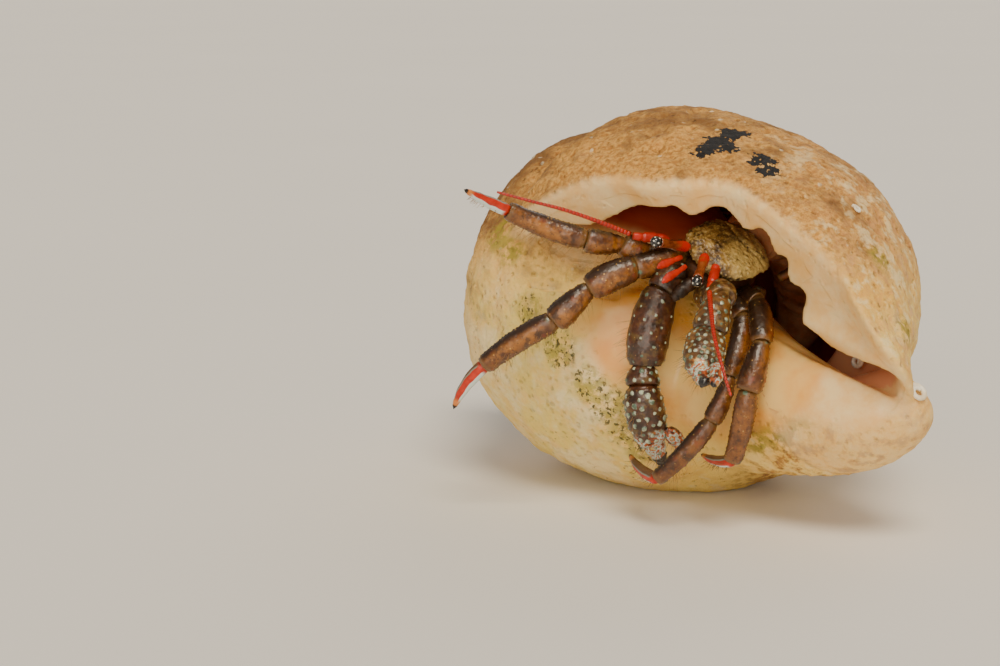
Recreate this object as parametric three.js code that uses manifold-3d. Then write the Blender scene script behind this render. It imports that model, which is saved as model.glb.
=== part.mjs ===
// A hermit crab in an old dog whelk shell, life size, in millimetres, +Z up.
// The shell grows by one spiral law; the crab's limbs are lofts along bent paths.
import * as THREE from 'three';
import { LoftGeometry } from 'three/addons/geometries/LoftGeometry.js';
import { mergeVertices } from 'three/addons/utils/BufferGeometryUtils.js';
import Module from 'manifold-3d';

const wasm = await Module();
wasm.setup();
const { Manifold, Mesh } = wasm;
const V = (x, y, z) => new THREE.Vector3(x, y, z);

// ---------- driving dimensions ----------
const SHELL_LENGTH = 42;
const GROWTH = 1.555; // size ratio from one whorl to the next
const AXIS_HEADING = 126.9; // compass direction of the apex, degrees from +X towards +Y
const AXIS_RISE = 7.2; // degrees the apex lies above level
const APERTURE_ROLL = -38.6; // degrees the aperture is turned about the axis from straight up
const CANAL_TIP = V(23.19, -0.84, -3.74);
const APEX_TURNS = 4.5; // whorls back to the worn apex
const CAVITY_TURNS = 0.86; // how far back the hollow goes
const LIP_SKEW = 0.054; // turns the lip's end at the suture runs ahead
const LIP_BACK = 0.034; // turns the middle of the lip's front part lags
const BULGE = 0.107; // extra size of the last whorl on its low side
const BULGE_TURN = -0.78;
const SWELL = 0.22; // extra size of the whorl before, on its high side
const SWELL_TURN = -1.12;
const LIP_TURN_IN = 0.022; // share the lip bends in over its last part
const LIP_THICK = 0.022; // how far the lip thickens inwards, as a share of the shell's length
const TOOTH = 0.0145; // height of a lip tooth, as a share of the shell's length
const PILLAR_CUT = 0.024; // how much deeper the hollow is cut into the pillar behind the lip
const SMOOTHED = 0.1; // how far the shell's facets may stray from its curve
const LIMB_SMOOTHED = 0.026; // the same for the limbs
const WELD = 1e-3; // points nearer than this are one
const FLOOR = -12.29; // height at which the shell's underside is cut to a small flat
// Brings the footprint's middle to the origin and the flat to z = 0.
const SHIFT = V(-11.084, -14.124, -FLOOR);

// Half of a cut through the shell: distance from the axis and height, as shares of the length.
// Each row pairs a point on the outside with the point of the hollow next to it.
const PROFILE = [
  [0.198, -0.345, 0.230, -0.415],
  [0.257, -0.358, 0.254, -0.425],
  [0.304, -0.408, 0.277, -0.460],
  [0.329, -0.490, 0.288, -0.521],
  [0.335, -0.600, 0.311, -0.602],
  [0.323, -0.705, 0.304, -0.696],
  [0.292, -0.812, 0.260, -0.803],
  [0.228, -0.905, 0.179, -0.838],
  [0.151, -0.966, 0.092, -0.862],
  [0.087, -1.000, 0.078, -0.974],
  [0.008, -0.975, 0.029, -0.950],
  [0.000, -0.860, 0.032, -0.855],
  [0.010, -0.740, 0.074, -0.738],
  [0.029, -0.620, 0.105, -0.640],
  [0.068, -0.500, 0.155, -0.575],
  [0.126, -0.400, 0.201, -0.480],
];
const TEETH_FROM = 4.66; // rows of the profile between which the lip carries its teeth
const TEETH_TO = 7.76;
const TEETH = 5;
// The pillar the whorls wind round: height, least reach and swell towards its low side.
const PILLAR = [
  [-0.990, 0.016, 0.006],
  [-0.975, 0.028, 0.022],
  [-0.940, 0.042, 0.042],
  [-0.870, 0.054, 0.066],
  [-0.765, 0.062, 0.092],
  [-0.650, 0.064, 0.112],
  [-0.550, 0.055, 0.100],
  [-0.400, 0.035, 0.030],
  [-0.120, 0.012, 0.000],
];
const PILLAR_SIDE = 232 * Math.PI / 180; // direction of the swell round the axis

// The head and trunk: their middle and their own directions.
const BODY_MIDDLE = V(12.85, 7.17, 3.26);
const BODY_FORWARD = V(-0.750, -0.655, -0.088).normalize();
const BODY_RIGHT = V(-0.562, 0.562, 0.606).normalize();
const BODY_UP = V(0, 0, 0).crossVectors(BODY_RIGHT, BODY_FORWARD).normalize();

// Walking legs and claw-bearing limbs: where their joints lie and the half width of each piece.
const WALKING_PIECES = ['base', 'merus', 'carpus', 'propodus', 'dactyl'];
const CLAW_PIECES = ['base', 'merus', 'carpus', 'palm'];
const LEGS = {
  leg_right_2: {
    pieces: WALKING_PIECES,
    joints: [[10.6, 8.1, 2.95], [7.84, 7.05, 2.58], [5.14, 6.66, 1.44], [3.18, 6.57, -0.43],
      [-0.88, 7.6, -3.24], [-2.74, 8.09, -5.97]],
    halfWidths: [0.75, 0.84, 0.78, 0.67, 0.41],
  },
  leg_right_3: {
    pieces: WALKING_PIECES,
    joints: [[10.75, 8.16, 3.54], [8.6, 7.88, 3.19], [7.11, 7.75, 3.91], [4.97, 7.29, 4.2],
      [0.46, 6.98, 5.94], [-2.05, 5.56, 7.32]],
    halfWidths: [0.7, 0.73, 0.69, 0.64, 0.36],
  },
  leg_left_2: {
    pieces: WALKING_PIECES,
    joints: [[13.21, 6.78, 0.82], [13.95, 5.44, 0.06], [13.09, 3.66, -3.16], [12.05, 3.32, -5.68],
      [9.02, 4.06, -9.22], [7.59, 6.94, -8.42]],
    halfWidths: [0.58, 0.57, 0.54, 0.54, 0.35],
  },
  leg_left_3: {
    pieces: WALKING_PIECES,
    joints: [[13.9, 7.2, 0.91], [14.77, 5.82, 0.78], [14.82, 3.35, -1.16], [14.02, 2.49, -3.76],
      [13.26, 3.07, -7.93], [11.65, 5.48, -8.09]],
    halfWidths: [0.63, 0.66, 0.73, 0.62, 0.34],
  },
  claw_right: {
    pieces: CLAW_PIECES,
    joints: [[10.52, 7.66, 2.38], [9.3, 6.67, 1.25], [8.4, 5.83, -2.94], [8.21, 5.28, -4.03],
      [9.57, 6.27, -8.81]],
    halfWidths: [0.93, 1.16, 0.95, 1.12],
  },
  claw_left: {
    pieces: CLAW_PIECES,
    joints: [[11.75, 6.81, 1.1], [12.17, 5.0, 1.24], [12.48, 3.0, 1.44], [11.73, 1.78, -0.26],
      [11.22, -1.77, -2.52]],
    halfWidths: [0.86, 0.97, 0.95, 1.11],
  },
};
// The outline of each kind of piece: share of its length, share of its half width.
const OUTLINES = {
  base: [[0, 0.8], [0.35, 1], [1, 0.95]],
  merus: [[0, 0.82], [0.3, 1], [0.7, 1], [1, 0.83]],
  carpus: [[0, 0.7], [0.3, 0.95], [0.7, 1], [1, 0.86]],
  propodus: [[0, 0.78], [0.18, 1], [0.55, 0.97], [0.82, 0.85], [1, 0.74]],
  dactyl: [[0, 1], [0.25, 1], [0.6, 0.8], [0.85, 0.7], [1, 0.66]],
  palm: [[0, 0.69], [0.15, 0.97], [0.38, 1], [0.56, 0.85], [0.72, 0.57], [0.88, 0.4], [1, 0.28]],
  finger: [[0, 0.84], [0.3, 1], [0.68, 0.8], [1, 0.56]],
};
const FLATNESS = 0.9; // depth of a limb's piece, as a share of its width
const JOINT_GAP = 0.1; // the thin cut between neighbouring pieces of a limb
const CLEARANCE = 0.07; // how far a piece is cut back from one it leans against
const TRUNK_CLEARANCE = 0.1;
const LEAST_HALF = 0.25; // no limb or feeler is thinner than twice this
const BOW = { dactyl: 0.065, palm: 0.11 }; // how far a piece bows out, as a share of its length
const OTHER_BOW = 0.045;

// Smaller limbs, mouthparts, eyestalks and feelers: points along them and their half widths.
// Those on the trunk are given forward, up and right of its middle.
const ON_TRUNK = {
  leg_right_4: {
    path: [[-1.7, -1.0, 2.2], [-0.9, -1.9, 2.6], [-0.1, -2.6, 2.3], [0.3, -3.0, 1.9]],
    half: [0.44, 0.44, 0.38, 0.29],
  },
  leg_left_4: {
    path: [[-2.1, -1.2, -2.1], [-1.9, -2.1, -2.2], [-1.2, -2.6, -2.0], [-0.8, -2.8, -1.7]],
    half: [0.44, 0.44, 0.38, 0.29],
  },
  leg_right_5: {
    path: [[-3.3, -0.6, 2.0], [-3.6, 0.5, 2.3], [-3.4, 1.3, 1.9], [-3.0, 1.7, 1.4]],
    half: [0.29, 0.29, 0.29, 0.29],
  },
  leg_left_5: {
    path: [[-3.6, -0.8, -2.0], [-4.0, 0.2, -2.3], [-3.8, 1.0, -2.0], [-3.4, 1.5, -1.5]],
    half: [0.29, 0.29, 0.29, 0.29],
  },
  mouthpart_right: {
    path: [[2.0, -1.2, 0.55], [2.7, -1.8, 0.62], [3.0, -2.5, 0.55]],
    half: [0.38, 0.38, 0.3],
  },
  mouthpart_left: {
    path: [[2.0, -1.25, -0.35], [2.7, -1.85, -0.38], [3.0, -2.5, -0.3]],
    half: [0.38, 0.38, 0.3],
  },
};
const FEELERS = {
  antennule_right: {
    path: [[10.39, 5.28, 3.48], [9.91, 4.86, 3.36], [9.31, 4.42, 3.2], [8.89, 3.99, 3.03]],
    half: [0.26, 0.31, 0.3, 0.26],
  },
  antennule_left: {
    path: [[10.61, 5.0, 3.0], [10.18, 4.55, 2.78], [9.58, 4.0, 2.52], [9.15, 3.54, 2.24]],
    half: [0.26, 0.31, 0.31, 0.26],
  },
  antenna_base_right: {
    path: [[9.7, 7.03, 4.16], [8.99, 6.76, 4.37], [8.22, 6.47, 4.46], [7.64, 6.29, 4.55]],
    half: [0.29, 0.35, 0.32, 0.29],
  },
  antenna_base_left: {
    path: [[12.42, 5.51, 3.04], [12.25, 4.84, 2.68], [12.02, 4.04, 2.17], [11.87, 3.58, 1.89]],
    half: [0.31, 0.37, 0.34, 0.28],
  },
  antenna_right: {
    path: [[7.45, 6.11, 4.69], [5.71, 5.63, 5.44], [3.7, 5.15, 6.19], [1.7, 4.85, 6.75],
      [-0.17, 4.73, 7.27]],
    half: [0.27, 0.27, 0.26, 0.26, 0.26],
  },
  antenna_left: {
    path: [[11.75, 2.47, 1.9], [11.7, 0.73, 1.28], [11.71, -1.4, 0.14], [12.0, -3.26, -1.24],
      [12.43, -4.13, -2.71]],
    half: [0.26, 0.26, 0.26, 0.25, 0.25],
  },
};
// Eyes: where each stalk starts and where the middle of the eye is.
const EYES = {
  right: [[10.7, 5.68, 4.0], [8.9, 3.84, 4.53]],
  left: [[11.71, 5.38, 3.46], [11.12, 3.25, 2.46]],
};
const EYE_RADIUS = 0.34;
// The movable fingers of the claws: start, tip and half width.
const FINGERS = {
  claw_right_finger: { from: [9.7, 5.12, -6.65], to: [10.7, 5.89, -8.06], half: 0.46 },
  claw_left_finger: { from: [11.97, -0.6, -1.69], to: [11.61, -2.38, -2.57], half: 0.41 },
};

// ---------- helpers ----------
function smooth(a, b, x) {
  const t = Math.min(1, Math.max(0, (x - a) / (b - a)));
  return t * t * (3 - 2 * t);
}

// A point of a closed Catmull-Rom curve through rows of numbers.
function closedCurve(rows, s) {
  const n = rows.length;
  const k = Math.floor(s);
  const f = s - k;
  const [a, b, c, d] = [-1, 0, 1, 2].map((o) => rows[(k + o + 2 * n) % n]);
  return a.map((_, i) => {
    const m = -a[i] + 3 * b[i] - 3 * c[i] + d[i];
    const q = 2 * a[i] - 5 * b[i] + 4 * c[i] - d[i];
    return 0.5 * (2 * b[i] + (c[i] - a[i]) * f + q * f * f + m * f * f * f);
  });
}

function solid(geometry, weld = WELD / 10) {
  const g = new THREE.BufferGeometry().copy(geometry);
  g.deleteAttribute('normal');
  g.deleteAttribute('uv');
  const m = mergeVertices(g, weld);
  return new Manifold(new Mesh({
    numProp: 3,
    vertProperties: m.attributes.position.array,
    triVerts: new Uint32Array(m.index.array),
  }));
}

function geometryOf(manifold) {
  const m = manifold.getMesh();
  const position = new Float32Array(m.numVert * 3);
  for (let i = 0; i < m.numVert; i++) {
    position.set(m.vertProperties.subarray(i * m.numProp, i * m.numProp + 3), i * 3);
  }
  const g = new THREE.BufferGeometry();
  g.setAttribute('position', new THREE.BufferAttribute(position, 3));
  g.setIndex(new THREE.BufferAttribute(new Uint32Array(m.triVerts), 1));
  return g;
}

// The outer body alone, without gaps closed in between whorls or slivers left by a cut.
function largest(manifold) {
  return manifold.decompose().reduce((a, b) => (a.volume() > b.volume() ? a : b));
}

function loft(sections) {
  return new LoftGeometry(sections, { closed: true, capStart: true, capEnd: true });
}

// ---------- the shell ----------
const axis = V(
  Math.cos(AXIS_HEADING * Math.PI / 180) * Math.cos(AXIS_RISE * Math.PI / 180),
  Math.sin(AXIS_HEADING * Math.PI / 180) * Math.cos(AXIS_RISE * Math.PI / 180),
  Math.sin(AXIS_RISE * Math.PI / 180),
);
const upright = V(0, 0, 1).addScaledVector(axis, -axis.z).normalize();
const sideways = V(0, 0, 0).crossVectors(axis, upright);
const roll = APERTURE_ROLL * Math.PI / 180;
const lipWay = upright.clone().multiplyScalar(Math.cos(roll)).addScaledVector(sideways, Math.sin(roll));
const acrossWay = V(0, 0, 0).crossVectors(axis, lipWay);
const shellFrame = new THREE.Matrix4().makeBasis(lipWay, acrossWay, axis);
shellFrame.scale(V(SHELL_LENGTH, SHELL_LENGTH, SHELL_LENGTH));
shellFrame.setPosition(V(0, 0, 0));
const tipNow = V(0.03, 0, -1).applyMatrix4(shellFrame);
shellFrame.setPosition(CANAL_TIP.clone().sub(tipNow));

// Where the outside and the hollow are sampled, as rows of the profile, counted backwards.
const OUTER_ROWS = Array.from({ length: 24 }, (_, i) => PROFILE.length * (24 - i) / 24);
const INNER_ROWS = [];
for (let i = 0; i < 12; i++) INNER_ROWS.push(16 + (TEETH_TO - 16) * i / 12);
for (let i = 0; i < 25; i++) INNER_ROWS.push(TEETH_TO + (TEETH_FROM - TEETH_TO) * i / 25);
for (let i = 0; i < 4; i++) INNER_ROWS.push(TEETH_FROM * (1 - i / 4));

// A ring of the shell's cut at a number of turns before (negative) the lip.
// inward goes from 0 on the outside to 1 on the wall of the hollow.
function ring(turn, rows, inward, teeth) {
  const points = [];
  for (const s of rows) {
    const [ro, zo, rc, zc] = closedCurve(PROFILE, s % PROFILE.length);
    const near = smooth(-0.2, 0, turn);
    const row = s % PROFILE.length;
    let r = ro + (rc - ro) * inward;
    let z = zo + (zc - zo) * inward;
    if (inward === 1) {
      let thick = LIP_THICK * smooth(1.5, 3, row) * smooth(7.5, 4, row) * smooth(-0.12, -0.03, turn);
      if (row > TEETH_FROM && row < TEETH_TO) {
        const phase = (row - TEETH_FROM) / (TEETH_TO - TEETH_FROM) * TEETH;
        thick += TOOTH * teeth * Math.sin(Math.PI * phase) ** 2;
      }
      const out = Math.hypot(rc - ro, zc - zo);
      r += (rc - ro) / out * thick;
      z += (zc - zo) / out * thick;
      const pillarSide = smooth(9.6, 10.6, row) * smooth(14.2, 13, row);
      r -= PILLAR_CUT * pillarSide * smooth(0.06, -0.06, turn);
    }
    const outer = smooth(0.12, 0.26, r);
    r *= 1 - LIP_TURN_IN * outer * smooth(-0.09, 0, turn);
    r *= 1 + BULGE * outer * smooth(0.22, 0, Math.abs(turn - BULGE_TURN));
    r *= 1 + SWELL * outer * smooth(0.40, 0, Math.abs(turn - SWELL_TURN));
    const lag = LIP_BACK * smooth(-0.60, -0.76, z) * smooth(-0.99, -0.90, z);
    const t = turn + near * (LIP_SKEW * smooth(-0.60, -0.36, z) - lag);
    const size = Math.pow(GROWTH, t);
    const angle = -2 * Math.PI * t;
    points.push(V(r * Math.cos(angle) * size, r * Math.sin(angle) * size, z * size));
  }
  return points.map((p) => p.applyMatrix4(shellFrame));
}

function makeShell() {
  let whole = null;
  const cuts = [0, -0.5, -1, -1.5, -2, -2.5, -3, -3.5, -4, -APEX_TURNS];
  for (let k = 0; k + 1 < cuts.length; k++) {
    const steps = k === 0 ? 13 : k === 1 ? 11 : k < 4 ? 7 : 4;
    const rings = [];
    for (let j = 0; j < steps; j++) {
      rings.push(ring(cuts[k + 1] + (cuts[k] - cuts[k + 1]) * j / steps, OUTER_ROWS, 0, 0));
    }
    rings.push(ring(cuts[k], OUTER_ROWS, k === 0 ? 0 : 0.03, 0));
    if (k > 0) rings.push(ring(cuts[k] + 0.015, OUTER_ROWS, 0.3, 0));
    if (k === 0) {
      rings.push(ring(0.006, OUTER_ROWS, 0.15, 0));
      rings.push(ring(0.009, OUTER_ROWS, 0.4, 0));
    }
    const piece = solid(loft(rings));
    whole = whole ? whole.add(piece) : piece;
  }
  // the solid pillar the whorls wind round, and the worn tip
  const pillar = [];
  for (const [z, r, swell] of PILLAR) {
    const p = [];
    for (let i = 0; i < 16; i++) {
      const a = 2 * Math.PI * i / 16;
      const side = Math.pow(0.5 + 0.5 * Math.cos(a - PILLAR_SIDE), 1.3);
      const reach = r + swell * side;
      p.push(V(reach * Math.cos(a), reach * Math.sin(a), z).applyMatrix4(shellFrame));
    }
    pillar.push(p);
  }
  whole = whole.add(solid(loft(pillar)));
  const tip = new THREE.SphereGeometry(1, 12, 8).scale(1.35, 1.35, 1.5);
  const tipAt = V(0, 0, -0.055).applyMatrix4(shellFrame);
  tip.translate(tipAt.x, tipAt.y, tipAt.z);
  whole = whole.add(solid(tip));
  // the hollow
  const rings = [];
  const stops = [];
  for (let j = 0; j <= 7; j++) stops.push(-CAVITY_TURNS + (CAVITY_TURNS - 0.2) * j / 7);
  stops.push(-0.13, -0.08, -0.04, -0.012, 0.02, 0.06);
  for (const t of stops) {
    const teeth = smooth(-0.08, -0.015, t);
    rings.push(ring(t, INNER_ROWS, 1, teeth));
  }
  const body = largest(whole.subtract(solid(loft(rings))));
  const smoothed = largest(solid(geometryOf(body.simplify(SMOOTHED)), WELD));
  return smoothed.trimByPlane([0, 0, 1], FLOOR);
}

// ---------- the crab ----------
// A closed ring of points round a middle, wide along one way and deep along another.
function oval(middle, wide, deep, halfWidth, top, bottom, count) {
  const points = [];
  for (let i = 0; i < count; i++) {
    const a = 2 * Math.PI * i / count;
    const up = Math.sin(a) > 0 ? top : bottom;
    const p = middle.clone().addScaledVector(wide, halfWidth * Math.cos(a));
    points.push(p.addScaledVector(deep, up * Math.sin(a)));
  }
  return points;
}

// A limb piece through its rows, with rounded ends; extra makes it thicker all round.
function limb(rows, facing, count, extra = 0) {
  const middles = rows.map((r) => V(r[0], r[1], r[2]));
  const rings = [];
  middles.forEach((m, i) => {
    const before = middles[Math.max(0, i - 1)];
    const after = middles[Math.min(middles.length - 1, i + 1)];
    const along = after.clone().sub(before).normalize();
    const wide = V(0, 0, 0).crossVectors(along, facing).normalize();
    const deep = V(0, 0, 0).crossVectors(wide, along);
    const [w, d] = [rows[i][3] + extra, rows[i][4] + extra];
    const end = i === 0 ? -1 : i === middles.length - 1 ? 1 : 0;
    const make = (share, step) => {
      const at = m.clone().addScaledVector(along, step);
      rings.push(oval(at, wide, deep, w * share, d * share, d * share, count));
    };
    if (end < 0) make(0.8, -extra);
    make(1, end < 0 ? 0.2 * w : end > 0 ? -0.2 * w : 0);
    if (end > 0) make(0.8, extra);
  });
  return loft(rings.map((r) => r.reverse()));
}

// Rows for one jointed piece between two points, bowing out away from its neighbours.
function pieceRows(kind, from, to, around, half) {
  const chord = to.clone().sub(from);
  const length = chord.length();
  const along = chord.clone().divideScalar(length);
  const away = from.clone().add(to).multiplyScalar(0.5).sub(around);
  away.addScaledVector(along, -away.dot(along)).normalize();
  const start = from.clone().addScaledVector(along, JOINT_GAP / 2);
  const run = length - JOINT_GAP;
  const bow = (BOW[kind] || OTHER_BOW) * length;
  return OUTLINES[kind].map(([share, width]) => {
    const p = start.clone().addScaledVector(along, run * share);
    p.addScaledVector(away, bow * 4 * share * (1 - share));
    const w = Math.max(LEAST_HALF, half * width);
    return [p.x, p.y, p.z, w, Math.max(LEAST_HALF, w * FLATNESS)];
  });
}

// Every limb's rows of x, y, z, half width and half depth, by node name.
function limbRows() {
  const rows = {};
  for (const [limbName, { pieces, joints, halfWidths }] of Object.entries(LEGS)) {
    const points = joints.map((j) => V(...j));
    pieces.forEach((kind, i) => {
      const before = points[Math.max(0, i - 1)];
      const after = points[Math.min(points.length - 1, i + 2)];
      const around = i + 2 < points.length ? before.clone().add(after).multiplyScalar(0.5) : before;
      rows[`${limbName}_${kind}`] = pieceRows(kind, points[i], points[i + 1], around, halfWidths[i]);
    });
  }
  for (const [name, { from, to, half }] of Object.entries(FINGERS)) {
    const palm = LEGS[name.replace('_finger', '')].joints;
    rows[name] = pieceRows('finger', V(...from), V(...to), V(...palm[palm.length - 1]), half);
  }
  for (const [name, { path, half }] of Object.entries(ON_TRUNK)) {
    rows[name] = path.map((p, i) => [...at(...p).toArray(), half[i], half[i] * FLATNESS]);
  }
  for (const [name, { path, half }] of Object.entries(FEELERS)) {
    rows[name] = path.map((p, i) => [...p, half[i], Math.max(LEAST_HALF, half[i] * FLATNESS)]);
  }
  for (const [side, [root, eye]] of Object.entries(EYES)) {
    const middle = V(...eye);
    const way = middle.clone().sub(V(...root)).normalize();
    const stalk = middle.distanceTo(V(...root));
    const row = (step, half) => [...V(...root).addScaledVector(way, step).toArray(), half, half];
    rows[`eyestalk_${side}`] = [row(0, 0.27), row(0.35, 0.3), row(stalk * 0.55, 0.25),
      row(stalk - 0.42, 0.26), row(stalk - 0.17, 0.31)];
    rows[`eye_${side}`] = [row(stalk - 0.07, 0.31), row(stalk + 0.06, EYE_RADIUS),
      row(stalk + 0.2, EYE_RADIUS), row(stalk + 0.37, 0.27), row(stalk + 0.49, 0.15)];
  }
  return rows;
}

// A point given forward, up and right of the trunk's middle.
function at(a, b, c) {
  const p = BODY_MIDDLE.clone().addScaledVector(BODY_FORWARD, a);
  return p.addScaledVector(BODY_UP, b).addScaledVector(BODY_RIGHT, c);
}

// Rows of the trunk: place along it, half width, top and bottom.
const SHIELD = [
  [-2.42, 1.15, 0.62, 0.05],
  [-2.20, 1.70, 0.95, -0.30],
  [-1.20, 2.15, 1.22, -0.30],
  [0.00, 2.25, 1.30, -0.30],
  [1.10, 2.05, 1.15, -0.30],
  [1.75, 1.60, 0.95, -0.20],
  [2.10, 0.95, 0.75, 0.00],
  [2.42, 0.25, 0.55, 0.30],
];
const THORAX = [
  [-2.30, 1.00, -0.70, -1.60],
  [-2.10, 1.45, -0.50, -2.00],
  [-1.00, 1.60, -0.42, -2.35],
  [0.40, 1.50, -0.42, -2.30],
  [1.40, 1.10, -0.42, -1.90],
  [1.85, 0.60, -0.42, -1.30],
];

function trunk(rows, extra = 0) {
  const rings = rows.map(([a, half, top, bottom]) => {
    const middle = (top + bottom) / 2;
    const height = (top - bottom) / 2 + extra;
    return oval(at(a, middle, 0), BODY_RIGHT, BODY_UP, half + extra, height, height, 14).reverse();
  });
  return loft(rings);
}

// A point inside the hollow: turns before the lip, distance from the axis and height.
function inside(turn, r, z) {
  const size = Math.pow(GROWTH, turn);
  const angle = -2 * Math.PI * turn;
  return V(r * Math.cos(angle) * size, r * Math.sin(angle) * size, z * size).applyMatrix4(shellFrame);
}

// Soft parts that follow the hollow: turn, distance from the axis, half width, half depth.
const TAIL = {
  carapace_rear: [
    [-0.072, 0.178, 1.45, 1.25],
    [-0.080, 0.180, 1.90, 1.60],
    [-0.110, 0.184, 2.20, 1.85],
    [-0.140, 0.184, 2.05, 1.75],
    [-0.152, 0.184, 1.60, 1.40],
  ],
  abdomen_front: [
    [-0.156, 0.184, 1.60, 1.45],
    [-0.168, 0.184, 2.00, 1.85],
    [-0.210, 0.182, 2.30, 2.10],
    [-0.245, 0.180, 2.25, 2.05],
  ],
  abdomen_middle: [
    [-0.248, 0.180, 2.25, 2.05],
    [-0.285, 0.178, 2.10, 1.90],
    [-0.325, 0.176, 1.80, 1.65],
  ],
  abdomen_rear: [
    [-0.328, 0.176, 1.78, 1.62],
    [-0.370, 0.174, 1.40, 1.30],
    [-0.405, 0.172, 1.00, 0.95],
  ],
  tail_fan: [
    [-0.409, 0.172, 0.90, 0.60],
    [-0.425, 0.172, 1.25, 0.55],
    [-0.442, 0.172, 0.90, 0.40],
  ],
};
const TAIL_HEIGHT = -0.69; // along the axis, as a share of the shell's length

function tail(rows, extra = 0) {
  const rings = rows.map(([t, r, half, depth]) => {
    const middle = inside(t, r, TAIL_HEIGHT);
    const along = inside(t - 0.01, r, TAIL_HEIGHT).sub(inside(t + 0.01, r, TAIL_HEIGHT)).normalize();
    const out = inside(t, r + 0.1, TAIL_HEIGHT).sub(middle).normalize();
    const wide = V(0, 0, 0).crossVectors(along, out).normalize();
    const deep = V(0, 0, 0).crossVectors(wide, along);
    return oval(middle, wide, deep, half + extra, depth + extra, depth + extra, 12);
  });
  return loft(rings.map((r) => r.reverse()));
}

const group = new THREE.Group();
const settle = new THREE.Matrix4();
settle.setPosition(SHIFT);
function put(name, geometry, colour, roughness) {
  const material = new THREE.MeshStandardMaterial({ color: colour, roughness, metalness: 0 });
  const placed = new THREE.BufferGeometry().copy(geometry).applyMatrix4(settle);
  const mesh = new THREE.Mesh(placed, material);
  mesh.name = name;
  placed.computeVertexNormals();
  group.add(mesh);
}

put('shell', geometryOf(makeShell()), 0xd9c9a3, 0.75);
put('carapace_shield', trunk(SHIELD), 0x9a8440, 0.5);
put('thorax', trunk(THORAX), 0x5a3a1c, 0.5);
for (const [name, rows] of Object.entries(TAIL)) {
  const soft = name.startsWith('abdomen');
  put(name, tail(rows), soft ? 0xb8794c : 0x8a6238, soft ? 0.6 : 0.5);
}
const FACING = V(0, -1, 0.18).normalize(); // the way the broad sides of the limbs look
const trunkRoom = solid(trunk(THORAX, TRUNK_CLEARANCE)).add(solid(trunk(SHIELD, TRUNK_CLEARANCE)))
  .add(solid(tail(TAIL.carapace_rear, TRUNK_CLEARANCE)));
// Pieces shaped to clear their neighbours, each with the neighbours it is cut back from.
const CUT_BACK = {
  leg_right_3_base: ['leg_right_2_base', 'leg_right_3_merus'],
  leg_right_3_merus: ['leg_right_2_base', 'leg_right_3_carpus'],
  leg_right_2_base: ['claw_right_base'],
  mouthpart_right: ['claw_right_base'],
  mouthpart_left: ['claw_right_base', 'claw_right_merus'],
  claw_right_base: ['claw_right_merus'],
  claw_right_carpus: ['claw_right_merus', 'claw_right_palm'],
  claw_right_palm: ['claw_right_finger'],
  claw_left_base: ['claw_left_merus', 'mouthpart_left', 'leg_left_2_base'],
  claw_left_merus: ['antenna_base_left', 'claw_left_carpus'],
  claw_left_carpus: ['claw_left_palm', 'antenna_left'],
  claw_left_palm: ['claw_left_finger'],
  leg_left_2_base: ['leg_left_2_merus'],
  leg_left_3_base: ['leg_left_2_base', 'leg_left_3_merus'],
  leg_left_2_propodus: ['leg_left_2_dactyl'],
  leg_left_3_propodus: ['leg_left_3_dactyl'],
};
// Colour and roughness of a limb's node.
function look(name) {
  if (name.startsWith('eye_')) return [0x111111, 0.15];
  if (name.startsWith('claw')) return [0x4e3420, 0.45];
  if (/^(eyestalk|antenn)/.test(name)) return [0xc0301a, 0.4];
  if (name.endsWith('dactyl')) return [0xc2401f, 0.4];
  return [0x8a5a26, 0.4];
}
// How many points go round a limb's node.
function sides(name) {
  return /palm|claw_right_merus/.test(name) ? 10 : 8;
}
const limbs = limbRows();
for (const [name, rows] of Object.entries(limbs)) {
  let body = solid(limb(rows, FACING, sides(name)));
  if (/_base|^mouth|_[45]$|^eyestalk|^antennule|^claw_left_merus/.test(name)) {
    body = body.subtract(trunkRoom);
  }
  for (const other of CUT_BACK[name] || []) {
    body = body.subtract(solid(limb(limbs[other], FACING, sides(other), CLEARANCE)));
  }
  put(name, geometryOf(largest(body).simplify(LIMB_SMOOTHED)), ...look(name));
}

export default group;
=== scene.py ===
"""A hermit crab in an old dog whelk shell, life size, dressed over its solids."""

import math
import random

import bmesh
import bpy
import numpy as np
from mathutils import Matrix, Vector, noise
from mathutils.kdtree import KDTree


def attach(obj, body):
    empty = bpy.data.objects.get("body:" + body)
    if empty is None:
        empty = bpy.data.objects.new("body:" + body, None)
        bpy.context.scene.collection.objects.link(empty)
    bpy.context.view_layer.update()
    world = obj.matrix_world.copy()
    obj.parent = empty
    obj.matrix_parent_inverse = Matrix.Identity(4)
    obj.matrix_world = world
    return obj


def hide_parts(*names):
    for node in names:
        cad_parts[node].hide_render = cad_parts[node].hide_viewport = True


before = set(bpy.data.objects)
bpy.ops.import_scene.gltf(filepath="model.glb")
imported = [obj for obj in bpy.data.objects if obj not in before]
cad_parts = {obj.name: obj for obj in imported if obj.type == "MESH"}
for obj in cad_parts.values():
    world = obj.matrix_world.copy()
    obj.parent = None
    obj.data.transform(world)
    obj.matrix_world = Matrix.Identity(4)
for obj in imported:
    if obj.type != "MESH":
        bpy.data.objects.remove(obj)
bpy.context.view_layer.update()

bl_info = {
    "name": "Hermit crab in a whelk shell",
    "version": (1, 0, 0),
    "blender": (4, 5, 0),
    "location": "View3D > Sidebar > Hermit crab",
    "description": "Builds a life-size hermit crab in an old dog whelk shell",
    "category": "Add Mesh",
}


# ---------- what a user may change ----------
def measure(name, description, default):
    return bpy.props.FloatProperty(
        name=name, description=description, default=default, min=0, unit="LENGTH", subtype="DISTANCE",
        precision=5)


def paint(name, description, *default):
    return bpy.props.FloatVectorProperty(
        name=name, description=description, default=default, min=0, max=1, size=3, subtype="COLOR")


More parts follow.
